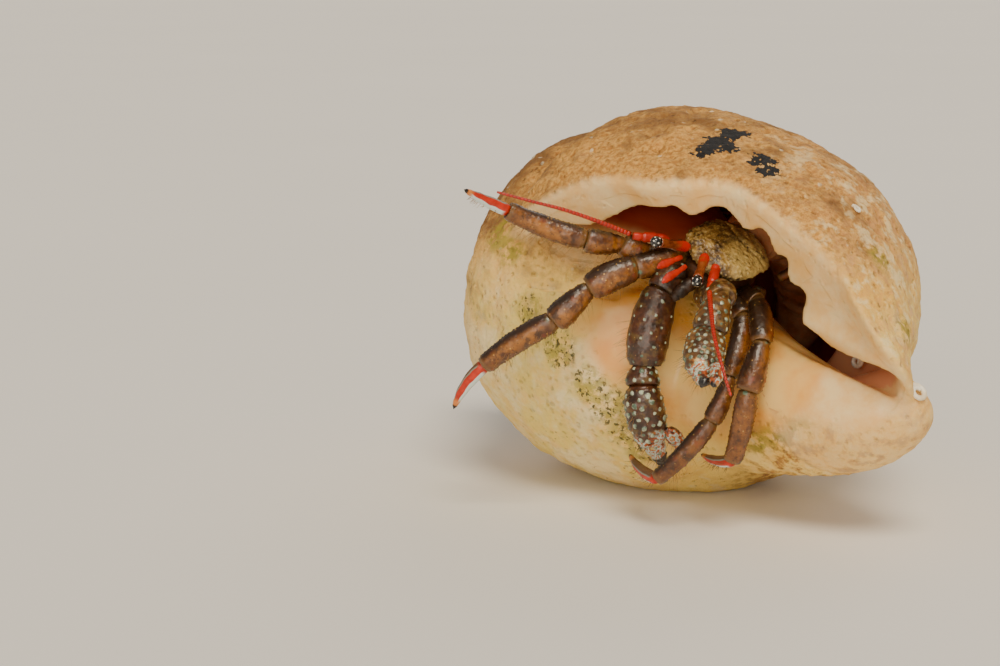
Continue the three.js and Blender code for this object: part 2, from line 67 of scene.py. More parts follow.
def amount(name, description, default, top=10.0):
    return bpy.props.FloatProperty(
        name=name, description=description, default=default, min=0, max=top, subtype="FACTOR")


class HermitShell(bpy.types.PropertyGroup):
    """Relief and colours of the whelk shell."""

    facet: measure("Facet", "Size of the shell's facets before they are thinned out", 0.00019)
    triangles: bpy.props.IntProperty(
        name="Triangles", description="Most triangles on the shell", default=190000, min=1000, max=199000)
    lines: measure("Growth lines", "Height of the growth lines at the lip", 0.00010)
    cords: measure("Cords", "Height of the worn spiral cords at the lip", 0.00004)
    lumps: measure("Lumps", "Height of the slow waves of the surface", 0.00015)
    pits: measure("Pits", "Depth of the worn pits", 0.00030)
    grain: measure("Grain", "Height of the finest roughness", 0.000045)
    cream: paint("Cream", "Bare shell, darker", 0.84, 0.47, 0.075)
    pale_cream: paint("Pale cream", "Bare shell, lighter", 0.94, 0.67, 0.19)
    # Chalk also paints a highlight on the lower left of the shell.
    chalk: paint("Chalk", "Worn white patches", 0.95, 0.79, 0.44)
    tan: paint("Tan", "Granular film, darker", 0.38, 0.145, 0.022)
    pale_tan: paint("Pale tan", "Granular film, lighter", 0.74, 0.39, 0.095)
    film: paint("Film", "Brown film on the top and back", 0.17, 0.070, 0.014)
    green: paint("Green", "Yellow-green stains", 0.30, 0.25, 0.012)
    specks: paint("Specks", "Dark specks of the band", 0.050, 0.048, 0.014)
    tar: paint("Tar", "Black marks", 0.010, 0.010, 0.012)
    lip: paint("Lip", "Face of the lip, darker", 0.90, 0.52, 0.16)
    pale_lip: paint("Pale lip", "Face of the lip, lighter", 0.94, 0.69, 0.34)
    # Glaze: partly the callus's own colour, partly painted orange glow and shade under the crab.
    glaze_and_glow: paint("Glaze", "Glossy inner side by the opening, darker", 0.86, 0.33, 0.035)
    pale_glaze: paint("Pale glaze", "Glossy inner side by the opening, lighter", 0.95, 0.62, 0.20)
    throat: paint("Throat", "Inside of the shell, darker", 0.38, 0.040, 0.014)
    pale_throat: paint("Pale throat", "Inside of the shell, lighter", 0.56, 0.095, 0.032)
    canal: paint("Canal", "Floor of the canal", 0.88, 0.42, 0.22)
    lime: paint("Worm tubes", "Lime of the coiled worm tubes", 0.95, 0.91, 0.78)


class HermitCrab(bpy.types.PropertyGroup):
    """Relief and colours of the crab."""

    stud: amount("Stud height", "Height of the claws' bumps against the usual one", 1.0, 2.0)
    leg_dark: paint("Leg, dark", "Darker brown of the walking legs", 0.085, 0.026, 0.006)
    leg_light: paint("Leg, light", "Lighter brown of the walking legs", 0.21, 0.070, 0.010)
    # Painted highlight: amber along the middle of each leg piece.
    leg_highlight: paint("Leg, amber", "Glow along the middle of the leg pieces", 0.44, 0.165, 0.018)
    leg_edge: paint("Leg, edge", "Black-brown of the upper edges", 0.016, 0.008, 0.004)
    tip_red: paint("Tip, red", "Red of the last leg pieces", 0.60, 0.030, 0.005)
    tip_white: paint("Tip, white", "Pale stripe of the last leg pieces", 0.70, 0.78, 0.74)
    right_dark: paint("Right claw, dark", "Darker crust of the right claw", 0.022, 0.009, 0.003)
    right_light: paint("Right claw, light", "Lighter crust of the right claw", 0.105, 0.030, 0.008)
    right_gold: paint("Right claw, gold", "Golden clouds of the right claw", 0.13, 0.075, 0.014)
    left_dark: paint("Left claw, dark", "Darker crust of the left claw", 0.045, 0.020, 0.005)
    left_light: paint("Left claw, light", "Lighter crust of the left claw", 0.20, 0.085, 0.018)
    left_gold: paint("Left claw, gold", "Golden clouds of the left claw", 0.34, 0.20, 0.05)
    stud_pale: paint("Studs", "Lightest colour of the claws' bumps", 0.48, 0.54, 0.38)
    black: paint("Black tips", "Tips of the claws and legs", 0.008, 0.006, 0.005)
    shield_dark: paint("Shield, dark", "Darker ground of the shield", 0.050, 0.024, 0.007)
    shield_gold: paint("Shield, gold", "Golden mottling of the shield", 0.50, 0.32, 0.085)
    feeler: paint("Feelers", "Red of the feelers", 0.54, 0.020, 0.003)
    skin: paint("Skin", "Soft belly inside the shell", 0.50, 0.22, 0.10)
    bristle: paint("Bristles", "Lighter bristles", 0.42, 0.20, 0.045)
    eye_dots: bpy.props.IntProperty(
        name="Eye dots", description="White dots on each eye", default=19, min=0, max=60)
    eye_dot: bpy.props.FloatProperty(
        name="Eye dot size", description="Angle that half a dot takes up", default=math.radians(8),
        min=0.01, max=0.5, unit="ROTATION", subtype="ANGLE")
    bristle_length: amount("Bristle length", "Length of the bristles against the usual one", 1.0, 2.0)


class HermitStage(bpy.types.PropertyGroup):
    """Floor, light and lens."""

    floor: paint("Floor", "Colour of the floor", 0.88, 0.86, 0.82)
    room: paint("Room", "Colour of the light all round", 1.0, 0.95, 0.88)
    room_strength: amount("Room light", "Strength of the light all round", 0.30)
    key_strength: amount("Key light", "Strength of the main light", 2.5)
    front_strength: amount("Front light", "Strength of the low light from the front", 1.6)
    back_strength: amount("Back light", "Strength of the light from behind", 0.5)
    lens: bpy.props.FloatProperty(
        name="Lens", description="Focal length of the camera", default=90, min=10, max=300, unit="CAMERA")
    distance: measure("Camera distance", "From the camera to the shell's middle", 0.13816)


# ---------- driving dimensions, in millimetres, repeated from the part's source ----------
SHELL_LENGTH = 42.0
GROWTH = 1.555  # size ratio from one whorl to the next
AXIS_HEADING = math.radians(126.9)
AXIS_RISE = math.radians(7.2)
APERTURE_ROLL = math.radians(-38.6)
CANAL_TIP = Vector((23.19, -0.84, -3.74))
APEX_TURNS = 4.5
CAVITY_TURNS = 0.86
LIP_SKEW = 0.054
LIP_BACK = 0.034
BULGE, BULGE_TURN = 0.107, -0.78
SWELL, SWELL_TURN = 0.22, -1.12
LIP_TURN_IN = 0.022
LIP_THICK = 0.022
TOOTH = 0.019
FLOOR = -12.29
SHIFT = Vector((-11.084, -14.124, -FLOOR))
PROFILE = np.array([
    (0.198, -0.345, 0.230, -0.415), (0.257, -0.358, 0.254, -0.425),
    (0.304, -0.408, 0.277, -0.460), (0.329, -0.490, 0.288, -0.521),
    (0.335, -0.600, 0.311, -0.602), (0.323, -0.705, 0.304, -0.696),
    (0.292, -0.812, 0.260, -0.803), (0.228, -0.905, 0.179, -0.838),
    (0.151, -0.966, 0.092, -0.862), (0.087, -1.000, 0.078, -0.974),
    (0.008, -0.975, 0.029, -0.950), (0.000, -0.860, 0.032, -0.855),
    (0.010, -0.740, 0.074, -0.738), (0.029, -0.620, 0.105, -0.640),
    (0.068, -0.500, 0.155, -0.575), (0.126, -0.400, 0.201, -0.480),
])
TEETH_FROM, TEETH_TO, TEETH = 4.66, 7.76, 5
PILLAR_CUT = 0.024
PILLAR = (
    (-0.990, 0.016, 0.006), (-0.975, 0.028, 0.022), (-0.940, 0.042, 0.042),
    (-0.870, 0.054, 0.066), (-0.765, 0.062, 0.092), (-0.650, 0.064, 0.112),
    (-0.550, 0.055, 0.100), (-0.400, 0.035, 0.030), (-0.120, 0.012, 0.000),
)
PILLAR_SIDE = math.radians(232)
CUT_SIDES, PILLAR_SIDES = 128, 48  # points round the whorls' cut and round the pillar
TIP_HALVES = (1.35, 1.35, 1.5, 1)  # half widths of the worn tip
BODY_VOXEL = 0.2  # grain at which the whorls, pillar and tip are joined
MM = 0.001


# ---------- small maths ----------
def smooth(low, high, x):
    """A soft step from 0 at low to 1 at high, for a number or an array."""
    t = np.clip((x - low) / (high - low), 0, 1)
    return t * t * (3 - 2 * t)


def curve(rows, s, closed=False):
    """Points of a Catmull-Rom curve through rows at the places s, counted in rows."""
    rows = np.asarray(rows, float)
    s = np.asarray(s, float)
    n = len(rows)
    k = np.floor(s).astype(int)
    if not closed:
        k = np.clip(k, 0, n - 2)
    f = (s - k)[..., None]
    pick = [rows[(k + o) % n] if closed else rows[np.clip(k + o, 0, n - 1)] for o in (-1, 0, 1, 2)]
    a, b, c, d = pick
    return 0.5 * (2 * b + (c - a) * f + (2 * a - 5 * b + 4 * c - d) * f**2 + (3 * b - a - 3 * c + d) * f**3)


def level(table, s):
    """A smooth value at share s from a short table of (share, value) pairs."""
    shares, values = zip(*table)
    place = np.interp(s, shares, range(len(shares)))
    k = np.clip(np.floor(place).astype(int), 0, len(shares) - 2)
    f = place - k
    values = np.array(values)
    return values[k] + (values[k + 1] - values[k]) * f * f * (3 - 2 * f)



def unit(rows):
    """Rows of vectors, each made one long."""
    return rows / np.linalg.norm(rows, axis=1)[:, None]


def ways(count):
    """Angles of a number of even steps once round."""
    return np.arange(count) * 2 * math.pi / count


def tree_of(points, marks):
    """A tree that finds the nearest of some points and its mark."""
    tree = KDTree(len(points))
    for p, mark in zip(points, marks):
        tree.insert(Vector(p), int(mark))
    tree.balance()
    return tree


# ---------- meshes ----------
def linked(name, data):
    """A new object in the scene with some data."""
    obj = bpy.data.objects.new(name, data)
    bpy.context.collection.objects.link(obj)
    return obj


def outcome(obj, *spares):
    """An object's mesh after its modifiers; the object and any spares are removed."""
    graph = bpy.context.evaluated_depsgraph_get()
    mesh = bpy.data.meshes.new_from_object(obj.evaluated_get(graph))
    for done in (obj, *spares):
        bpy.data.objects.remove(done)
    return mesh


def grow(bm, rings, shares=None):
    """Extrudes a loop through rings of points and closes both ends at a pole.

    The layers 'along' and 'column' keep each point's share along and its place around."""
    along = bm.verts.layers.float.get("along") or bm.verts.layers.float.new("along")
    column = bm.verts.layers.int.get("column") or bm.verts.layers.int.new("column")
    rings = [[Vector(p) for p in ring] for ring in rings]
    shares = np.linspace(0, 1, len(rings)) if shares is None else shares
    count = len(rings[0])
    loop = bmesh.ops.create_circle(bm, segments=count, radius=1)["verts"]
    for i, v in enumerate(loop):
        v.co, v[column], v[along] = rings[0][i], i, shares[0]
    edges = list(dict.fromkeys(e for v in loop for e in v.link_edges))
    ends = [(loop, edges)]
    for ring, share in zip(rings[1:], shares[1:]):
        grown = bmesh.ops.extrude_edge_only(bm, edges=edges)["geom"]
        edges = [g for g in grown if isinstance(g, bmesh.types.BMEdge)]
        loop = [g for g in grown if isinstance(g, bmesh.types.BMVert)]
        rim = set(loop)
        edges = [e for e in edges if e.verts[0] in rim and e.verts[1] in rim]
        for v in loop:
            v.co, v[along] = ring[v[column]], share
    ends.append((loop, edges))
    for _, rim_edges in ends:
        lid = bmesh.ops.edgeloop_fill(bm, edges=rim_edges)["faces"]
        bmesh.ops.poke(bm, faces=lid)
    return bm


def model(bm, name):
    """Turns a finished bmesh in millimetres into an object at the origin."""
    bmesh.ops.recalc_face_normals(bm, faces=bm.faces)
    bmesh.ops.transform(bm, matrix=Matrix.Scale(MM, 4) @ Matrix.Translation(SHIFT), verts=bm.verts)
    mesh = bpy.data.meshes.new(name)
    bm.to_mesh(mesh)
    bm.free()
    mesh.shade_smooth()
    return linked(name, mesh)


def settle(obj, material, nodes):
    """Gives a piece its finish and its place on the frame."""
    obj.data.materials.clear()
    obj.data.materials.append(material)
    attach(obj, "root")
    if nodes:
        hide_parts(*nodes)
    return obj


def keep(mesh, name, values):
    """Writes numbers for each vertex as an attribute that a material can read."""
    values = np.asarray(values, np.float32)
    kind = "FLOAT" if values.ndim == 1 else "FLOAT_VECTOR"
    layer = mesh.attributes.get(name) or mesh.attributes.new(name, kind, "POINT")
    layer.data.foreach_set("value" if values.ndim == 1 else "vector", values.ravel())


def points_of(mesh):
    co = np.empty(len(mesh.vertices) * 3, np.float32)
    mesh.vertices.foreach_get("co", co)
    return co.reshape(-1, 3).astype(float)


def move_points(mesh, points):
    mesh.vertices.foreach_set("co", np.asarray(points).astype(np.float32).ravel())


def placed(points):
    """Points in millimetres of the part's own frame, moved to the scene's metres."""
    return (points + np.array(SHIFT)) * MM


def normals_of(mesh):
    no = np.empty(len(mesh.vertices) * 3, np.float32)
    mesh.vertex_normals.foreach_get("vector", no)
    return no.reshape(-1, 3).astype(float)


def noises(points, size, seed=0, octaves=2):
    """Smooth noise, about -1 to 1, at each point, with lumps about size across."""
    off = Vector((seed * 17.3, seed * 7.9, seed * 3.1))
    return np.array([noise.fractal(Vector(p) / size + off, 1.0, 2.0, octaves) for p in points])


# ---------- shell geometry ----------
def shell_matrix():
    """The shell's own frame: +X towards the lip, +Z towards the apex, one unit its length."""
    axis = Vector((
        math.cos(AXIS_HEADING) * math.cos(AXIS_RISE),
        math.sin(AXIS_HEADING) * math.cos(AXIS_RISE),
        math.sin(AXIS_RISE),
    ))
    upright = (Vector((0, 0, 1)) - axis * axis.z).normalized()
    sideways = axis.cross(upright)
    lip_way = upright * math.cos(APERTURE_ROLL) + sideways * math.sin(APERTURE_ROLL)
    basis = Matrix((lip_way, axis.cross(lip_way), axis)).transposed() * SHELL_LENGTH
    place = basis.to_4x4()
    place.translation = CANAL_TIP - basis @ Vector((0.03, 0, -1))
    return place


SHELL = shell_matrix()


def out_of_shell(points):
    """Points in the shell's own frame, moved to where the shell lies."""
    turn = np.array(SHELL.to_3x3())
    return points @ turn.T + np.array(SHELL.translation)


def whorl(turn, rows, inward=0.0, teeth=0.0):
    """Rings of the shell's cut at a number of turns before (negative) the lip."""
    rows = np.asarray(rows, float) % len(PROFILE)
    ro, zo, rc, zc = curve(PROFILE, rows, closed=True).T
    near = smooth(-0.2, 0, turn)
    r = ro + (rc - ro) * inward
    z = zo + (zc - zo) * inward
    if inward == 1:
        thick = LIP_THICK * smooth(1.5, 3, rows) * smooth(7.5, 4, rows) * smooth(-0.12, -0.03, turn)
        phase = np.clip((rows - TEETH_FROM) / (TEETH_TO - TEETH_FROM), 0, 1) * TEETH
        thick = thick + TOOTH * teeth * np.sin(math.pi * phase) ** 2
        out = np.hypot(rc - ro, zc - zo)
        r = r + (rc - ro) / out * thick
        z = z + (zc - zo) / out * thick
        pillar = smooth(9.6, 10.6, rows) * smooth(14.2, 13, rows)
        r = r - PILLAR_CUT * pillar * smooth(0.06, -0.06, turn)
    outer = smooth(0.12, 0.26, r)
    r = r * (1 - LIP_TURN_IN * outer * smooth(-0.09, 0, turn))
    r = r * (1 + BULGE * outer * smooth(0.22, 0, abs(turn - BULGE_TURN)))
    r = r * (1 + SWELL * outer * smooth(0.40, 0, abs(turn - SWELL_TURN)))
    lag = LIP_BACK * smooth(-0.60, -0.76, z) * smooth(-0.99, -0.90, z)
    t = turn + near * (LIP_SKEW * smooth(-0.60, -0.36, z) - lag)
    size = GROWTH**t
    angle = -2 * math.pi * t
    return out_of_shell(np.stack([r * np.cos(angle) * size, r * np.sin(angle) * size, z * size], -1))


def vectors(points):
    return [Vector(p) for p in points]


def remeshed(mesh, size):
    """A copy of a mesh with its overlapping bodies joined, in even squares."""
    obj = linked("remesh", mesh)
    change = obj.modifiers.new("even", "REMESH")
    change.mode = "VOXEL"
    change.voxel_size = size
    return outcome(obj)


def carved(mesh, tool):
    """A mesh less the room of another one."""
    obj = linked("carve", mesh)
    knife = linked("knife", tool)
    cut = obj.modifiers.new("cut", "BOOLEAN")
    cut.operation = "DIFFERENCE"
    cut.solver = "MANIFOLD"
    cut.object = knife
    return outcome(obj, knife)


def mesh_from(bm, name):
    bmesh.ops.recalc_face_normals(bm, faces=bm.faces)
    mesh = bpy.data.meshes.new(name)
    bm.to_mesh(mesh)
    bm.free()
    return mesh


def shell_body():
    """The whorls, the pillar they wind round and the worn tip, less the hollow."""
    rows = len(PROFILE) * (1 - np.arange(CUT_SIDES) / CUT_SIDES)
    bm = bmesh.new()
    turns = np.arange(-APEX_TURNS, 0.0001, 1 / 64)
    rings = [vectors(whorl(t, rows)) for t in turns]
    rings += [vectors(whorl(t, rows, inward)) for t, inward in ((0.004, 0.06), (0.007, 0.15), (0.009, 0.4))]
    grow(bm, rings)
    way = ways(PILLAR_SIDES)
    side = (0.5 + 0.5 * np.cos(way - PILLAR_SIDE)) ** 1.3
    heights = np.linspace(0, len(PILLAR) - 1, 65)
    pillar = curve(np.array(PILLAR), heights)
    pillar_rings = []
    for z, r, swell in pillar:
        reach = r + swell * side
        ring = np.stack([reach * np.cos(way), reach * np.sin(way), np.full(PILLAR_SIDES, z)], -1)
        pillar_rings.append(vectors(out_of_shell(ring)))
    grow(bm, pillar_rings)
    tip = SHELL @ Vector((0, 0, -0.055))
    bmesh.ops.create_icosphere(
        bm, subdivisions=4, radius=1.0,
        matrix=Matrix.Translation(tip) @ Matrix.Diagonal(TIP_HALVES),
    )
    whole = remeshed(mesh_from(bm, "whorls"), BODY_VOXEL)
    hollow = bmesh.new()
    columns = np.concatenate([
        np.linspace(16, TEETH_TO, 70, endpoint=False),
        np.linspace(TEETH_TO, TEETH_FROM, 110, endpoint=False),
        np.linspace(TEETH_FROM, 0, 34, endpoint=False),
    ])
    stops = [np.linspace(-CAVITY_TURNS, -0.13, 70, endpoint=False), np.linspace(-0.13, 0.06, 46)]
    grow(hollow, [vectors(whorl(t, columns, 1, smooth(-0.08, -0.015, t))) for t in np.concatenate(stops)])
    return carved(whole, mesh_from(hollow, "hollow"))


# ---------- materials ----------
def deeper(colour, *shares):
    """A colour with its red, green and blue turned down, all alike when one share is given."""
    return tuple(c * k for c, k in zip(colour, shares * 3 if len(shares) == 1 else shares))


class Wire:
    """A node's output that can be used in sums."""

    def __init__(self, finish, socket):
        self.finish = finish
        self.socket = socket

    def maths(self, operation, *others):
        return self.finish.node("ShaderNodeMath", {"operation": operation}, dict(enumerate((self, *others))))

    def __add__(self, other):
        return self.maths("ADD", other)

    __radd__ = __add__

    def __sub__(self, other):
        return self.maths("SUBTRACT", other)

    def __rsub__(self, other):
        return (self * -1) + other

    def __mul__(self, other):
        return self.maths("MULTIPLY", other)

    __rmul__ = __mul__

    def most(self, other):
        return self.maths("MAXIMUM", other)

    def between(self, low, high, to_low=0.0, to_high=1.0):
        """A soft step of this value from low to high."""
        settings = {"interpolation_type": "SMOOTHSTEP"}
        return self.finish.node(
            "ShaderNodeMapRange", settings, {0: self, 1: low, 2: high, 3: to_low, 4: to_high})


class Finish:
    """One procedural material, built from numbers, colours and sums of them."""

    def __init__(self, name, **constants):
        self.material = bpy.data.materials.new(name)
        self.material.use_nodes = True
        self.tree = self.material.node_tree
        self.shader = self.tree.nodes["Principled BSDF"]
        for socket, value in constants.items():
            self.shader.inputs[socket.replace("_", " ")].default_value = value
        coords = self.tree.nodes.new("ShaderNodeTexCoord")
        self.place = Wire(self, coords.outputs["Object"])

    def node(self, kind, settings=None, inputs=None, output=0):
        """Adds a node: its settings first, then the values or links of its sockets."""
        made = self.tree.nodes.new(kind)
        for key, value in (settings or {}).items():
            setattr(made, key, value)
        for key, value in (inputs or {}).items():
            if isinstance(value, Wire):
                self.tree.links.new(value.socket, made.inputs[key])
            elif made.inputs[key].type == "RGBA":
                made.inputs[key].default_value = (*value[:3], 1)
            else:
                made.inputs[key].default_value = value
        return Wire(self, made.outputs[output])

    def read(self, name, vector=False):
        """A number or vector kept with each point of the mesh."""
        output = "Vector" if vector else "Fac"
        return self.node("ShaderNodeAttribute", {"attribute_name": name}, output=output)

    def parts(self, wire):
        """The three numbers of a vector."""
        made = self.node("ShaderNodeSeparateXYZ", None, {0: wire}).socket.node
        return [Wire(self, made.outputs[i]) for i in range(3)]

    def vector(self, x, y, z):
        return self.node("ShaderNodeCombineXYZ", None, {0: x, 1: y, 2: z})

    def blend(self, a, b, share):
        """Colour a turning into b by share."""
        return self.node("ShaderNodeMix", {"data_type": "RGBA"}, {0: share, 6: a, 7: b}, 2)

    def cloud(self, lump, detail=3.0, rough=0.5, place=None):
        """Noise from 0 to 1 with lumps of a size in metres, or of the place's own units."""
        return self.node("ShaderNodeTexNoise", None, {
            "Vector": place or self.place, "Scale": 1 / lump, "Detail": detail, "Roughness": rough})

    def cells(self, gap):
        """How far each place is from the nearest of many dots that stand about a gap apart."""
        return self.node("ShaderNodeTexVoronoi", None, {"Vector": self.place, "Scale": 1 / gap})

    def near(self, where, radius, softness=0.35):
        """1 within a radius in millimetres of a point in the part's own frame, 0 outside."""
        spot = tuple((Vector(where) + SHIFT) * MM)
        gap = self.node("ShaderNodeVectorMath", {"operation": "DISTANCE"}, {0: self.place, 1: spot}, "Value")
        return gap.between(radius * MM * (1 + softness), radius * MM * (1 - softness))

    def bump(self, height, strength, distance):
        inputs = {"Height": height, "Strength": strength, "Distance": distance}
        return self.node("ShaderNodeBump", None, inputs)

    def feed(self, **links):
        """Links sums to the shader's sockets."""
        for socket, value in links.items():
            self.tree.links.new(value.socket, self.shader.inputs[socket.replace("_", " ")])
        return self.material


# ---------- the shell ----------
STEP = 1 / 96  # turns between the rings of samples that places on the shell are read from
# Stains and marks, and the callus whose glaze is partly painted glow and shade: places in millimetres with
# their reach.
CALLUS = (((15.5, 5.0, -3.0), 3.5), ((11.6, 6.6, -3.6), 3.7), ((8.2, 8.4, -1.4), 3.3), ((5.9, 9.1, 0.3), 2.3))
ALGAE_BAND = (
    ((1.8, 11.4, -0.6), 0.9), ((3.6, 9.8, -2.7), 1.1), ((5.3, 8.8, -4.6), 1.1), ((6.5, 8.7, -5.9), 1.2),
    ((7.6, 9.1, -7.4), 1.1), ((8.4, 9.4, -8.8), 0.9))
GREEN = (
    ((0.7, 14.0, 2.6), 1.0), ((0.2, 15.6, 3.3), 1.2), ((15.7, 3.4, -6.2), 1.1), ((16.9, 2.1, -5.4), 1.0),
    ((14.6, 4.4, -7.2), 0.9), ((22.5, 0.5, 0.1), 0.9), ((21.2, 2.2, 3.8), 0.8))
TAR = (
    ((12.6, 8.0, 9.8), 0.95), ((11.8, 7.3, 9.4), 0.75), ((13.6, 8.9, 10.1), 0.85), ((14.9, 6.0, 9.0), 0.7),
    ((15.2, 5.1, 8.5), 0.7), ((13.1, 7.3, 9.6), 0.6))
CANAL = (((21.1, 7.5, -3.1), 3.0), ((21.8, 3.4, -3.1), 2.8), ((20.2, 9.8, -3.0), 1.8))
SEAM = (  # where the lip's root runs into the outside
    ((3.2, 13.1, 2.8), 0.8), ((4.1, 12.6, 2.55), 0.8), ((5.1, 12.1, 2.3), 0.7), ((6.0, 11.7, 2.2), 0.6))
SMOOTHINGS, ROOT_SMOOTHINGS = 2, 90  # passes over the whole shell and over the lip's root
BLENDED = (  # the lip's root
    ((2.2, 12.4, 2.2), 1.5), ((3.6, 12.9, 2.6), 1.3), ((4.8, 12.3, 2.4), 1.2), ((5.8, 11.8, 2.2), 1.1))


def shell_lie(points):
    """For points in the part's frame: turn and row on the shell, and how far each belongs to
    the hollow and to the lip's face."""
    sets = []
    rows = np.arange(0, 16, 1 / 6)
    for turns, inward, kind in (
        (np.arange(-APEX_TURNS, 0.001, STEP), 0.0, 0),
        (np.arange(-CAVITY_TURNS, 0.011, STEP), 1.0, 1),
    ):
        step = 0.002
        for t in turns:
            teeth = smooth(-0.08, -0.015, t)
            here = whorl(t, rows, inward, teeth)
            along = (whorl(t + step, rows, inward, teeth) - here) / step
            across = (whorl(t, rows + 0.02, inward, teeth) - here) / 0.02
            sets.append((here, along, across, np.full(len(rows), t), rows, np.full(len(rows), kind)))
    for inward in np.linspace(0.08, 0.92, 13):
        here = whorl(0.008, rows, inward)
        still = np.full_like(here, 1e-9)
        sets.append((here, still, still, np.zeros(len(rows)), rows, np.full(len(rows), 2)))
    here, along, across, turn, row, kind = (np.concatenate(c) for c in zip(*sets))
    gaps = []
    for k in range(3):
        chosen = np.flatnonzero(kind == k)
        tree = tree_of(here[chosen], chosen)
        gaps.append([tree.find(Vector(p))[1:] for p in points])
    near = np.array([[g[0] for g in gap] for gap in gaps])
    dist = np.array([[g[1] for g in gap] for gap in gaps])
    best = near[np.argmin(dist[:2], axis=0), np.arange(len(points))]
    off = points - here[best]
    a, b = along[best], across[best]
    turn = turn[best] + np.sum(off * a, 1) / np.sum(a * a, 1)
    row = (row[best] + np.sum(off * b, 1) / np.sum(b * b, 1)) % 16
    inner = smooth(0.25, -0.25, dist[1] - dist[0])
    face = smooth(0.55, -0.45, dist[2] - np.minimum(dist[0], dist[1]))
    return turn, row, inner, face


def reach_of(points, spots, soft=0.45):
    """How far each point lies within any of the spots, 0 to 1."""
    share = np.zeros(len(points))
    for centre, radius in spots:
        gap = np.linalg.norm(points - np.array(centre), axis=1)
        share = np.maximum(share, smooth(radius * (1 + soft), radius * (1 - soft), gap))
    return share


def shell_mesh():
    """The shell in even facets, worn and pitted, with what its finish needs kept on it."""
    look = bpy.context.scene.hermit_shell
    even = remeshed(shell_body(), look.facet / MM)
    bm = bmesh.new()
    bm.from_mesh(even)
    flow = reach_of(points_of(even), BLENDED, 0.3) > 0.3
    root = [v for v, chosen in zip(bm.verts, flow) if chosen]
    for verts, times in ((bm.verts, SMOOTHINGS), (root, ROOT_SMOOTHINGS)):
        for _ in range(times):
            bmesh.ops.smooth_vert(
                bm, verts=verts, factor=0.5, use_axis_x=True, use_axis_y=True, use_axis_z=True)
    bm.to_mesh(even)
    bm.free()
    points = points_of(even)
    turn, row, inner, face = shell_lie(points)
    worn = (1 - inner) * (1 - face) * (1 - reach_of(points, CALLUS))
    whole = GROWTH ** np.clip(turn, -5, 0)
    high = smooth(-6, 6, points[:, 2])
    lines = np.array([noise.fractal(Vector((t * 46, r * 0.35, 0)), 1.0, 2.0, 3) for t, r in zip(turn, row)])
    cords = np.cos(row * 2 * math.pi * 1.5) * (0.5 + 0.5 * noises(points, 5.0, 3))
    lumps = noises(points, 3.2, 1)
    pits = np.maximum(0, noises(points, 0.85, 5) - 0.05) * (0.25 + 0.75 * high)
    grain = noises(points, 0.42, 8)
    lift = (look.lines * lines + look.cords * cords) * whole + look.lumps * lumps - look.pits * pits
    lift = worn * (lift + look.grain * grain) / MM
    lift += (1 - worn) * (1 - inner) * 0.05 * noises(points, 2.5, 9)
    points += normals_of(even) * lift[:, None]
    points[:, 2] = np.maximum(points[:, 2], FLOOR)
    move_points(even, points)
    obj = linked("thin", even)
    thin = obj.modifiers.new("thin", "DECIMATE")
    faces = sum(len(p.vertices) - 2 for p in even.polygons)
    thin.ratio = min(1.0, look.triangles / faces)
    mesh = outcome(obj)
    points = points_of(mesh)
    points[:, 2] = np.where(points[:, 2] < FLOOR + 0.02, FLOOR, points[:, 2])
    turn, row, inner, face = shell_lie(points)
    keep(mesh, "inner", inner * (1 - reach_of(points, SEAM, 0.3)))
    keep(mesh, "face", face)
    keep(mesh, "growth", np.stack([turn, row, np.zeros(len(row))], -1))
    for name, spots in (("callus", CALLUS), ("algae", ALGAE_BAND), ("green", GREEN), ("canal", CANAL)):
        keep(mesh, name, reach_of(points, spots))
    keep(mesh, "tar", reach_of(points, TAR, 0.8))
    move_points(mesh, placed(points))
    mesh.shade_smooth()
    return mesh


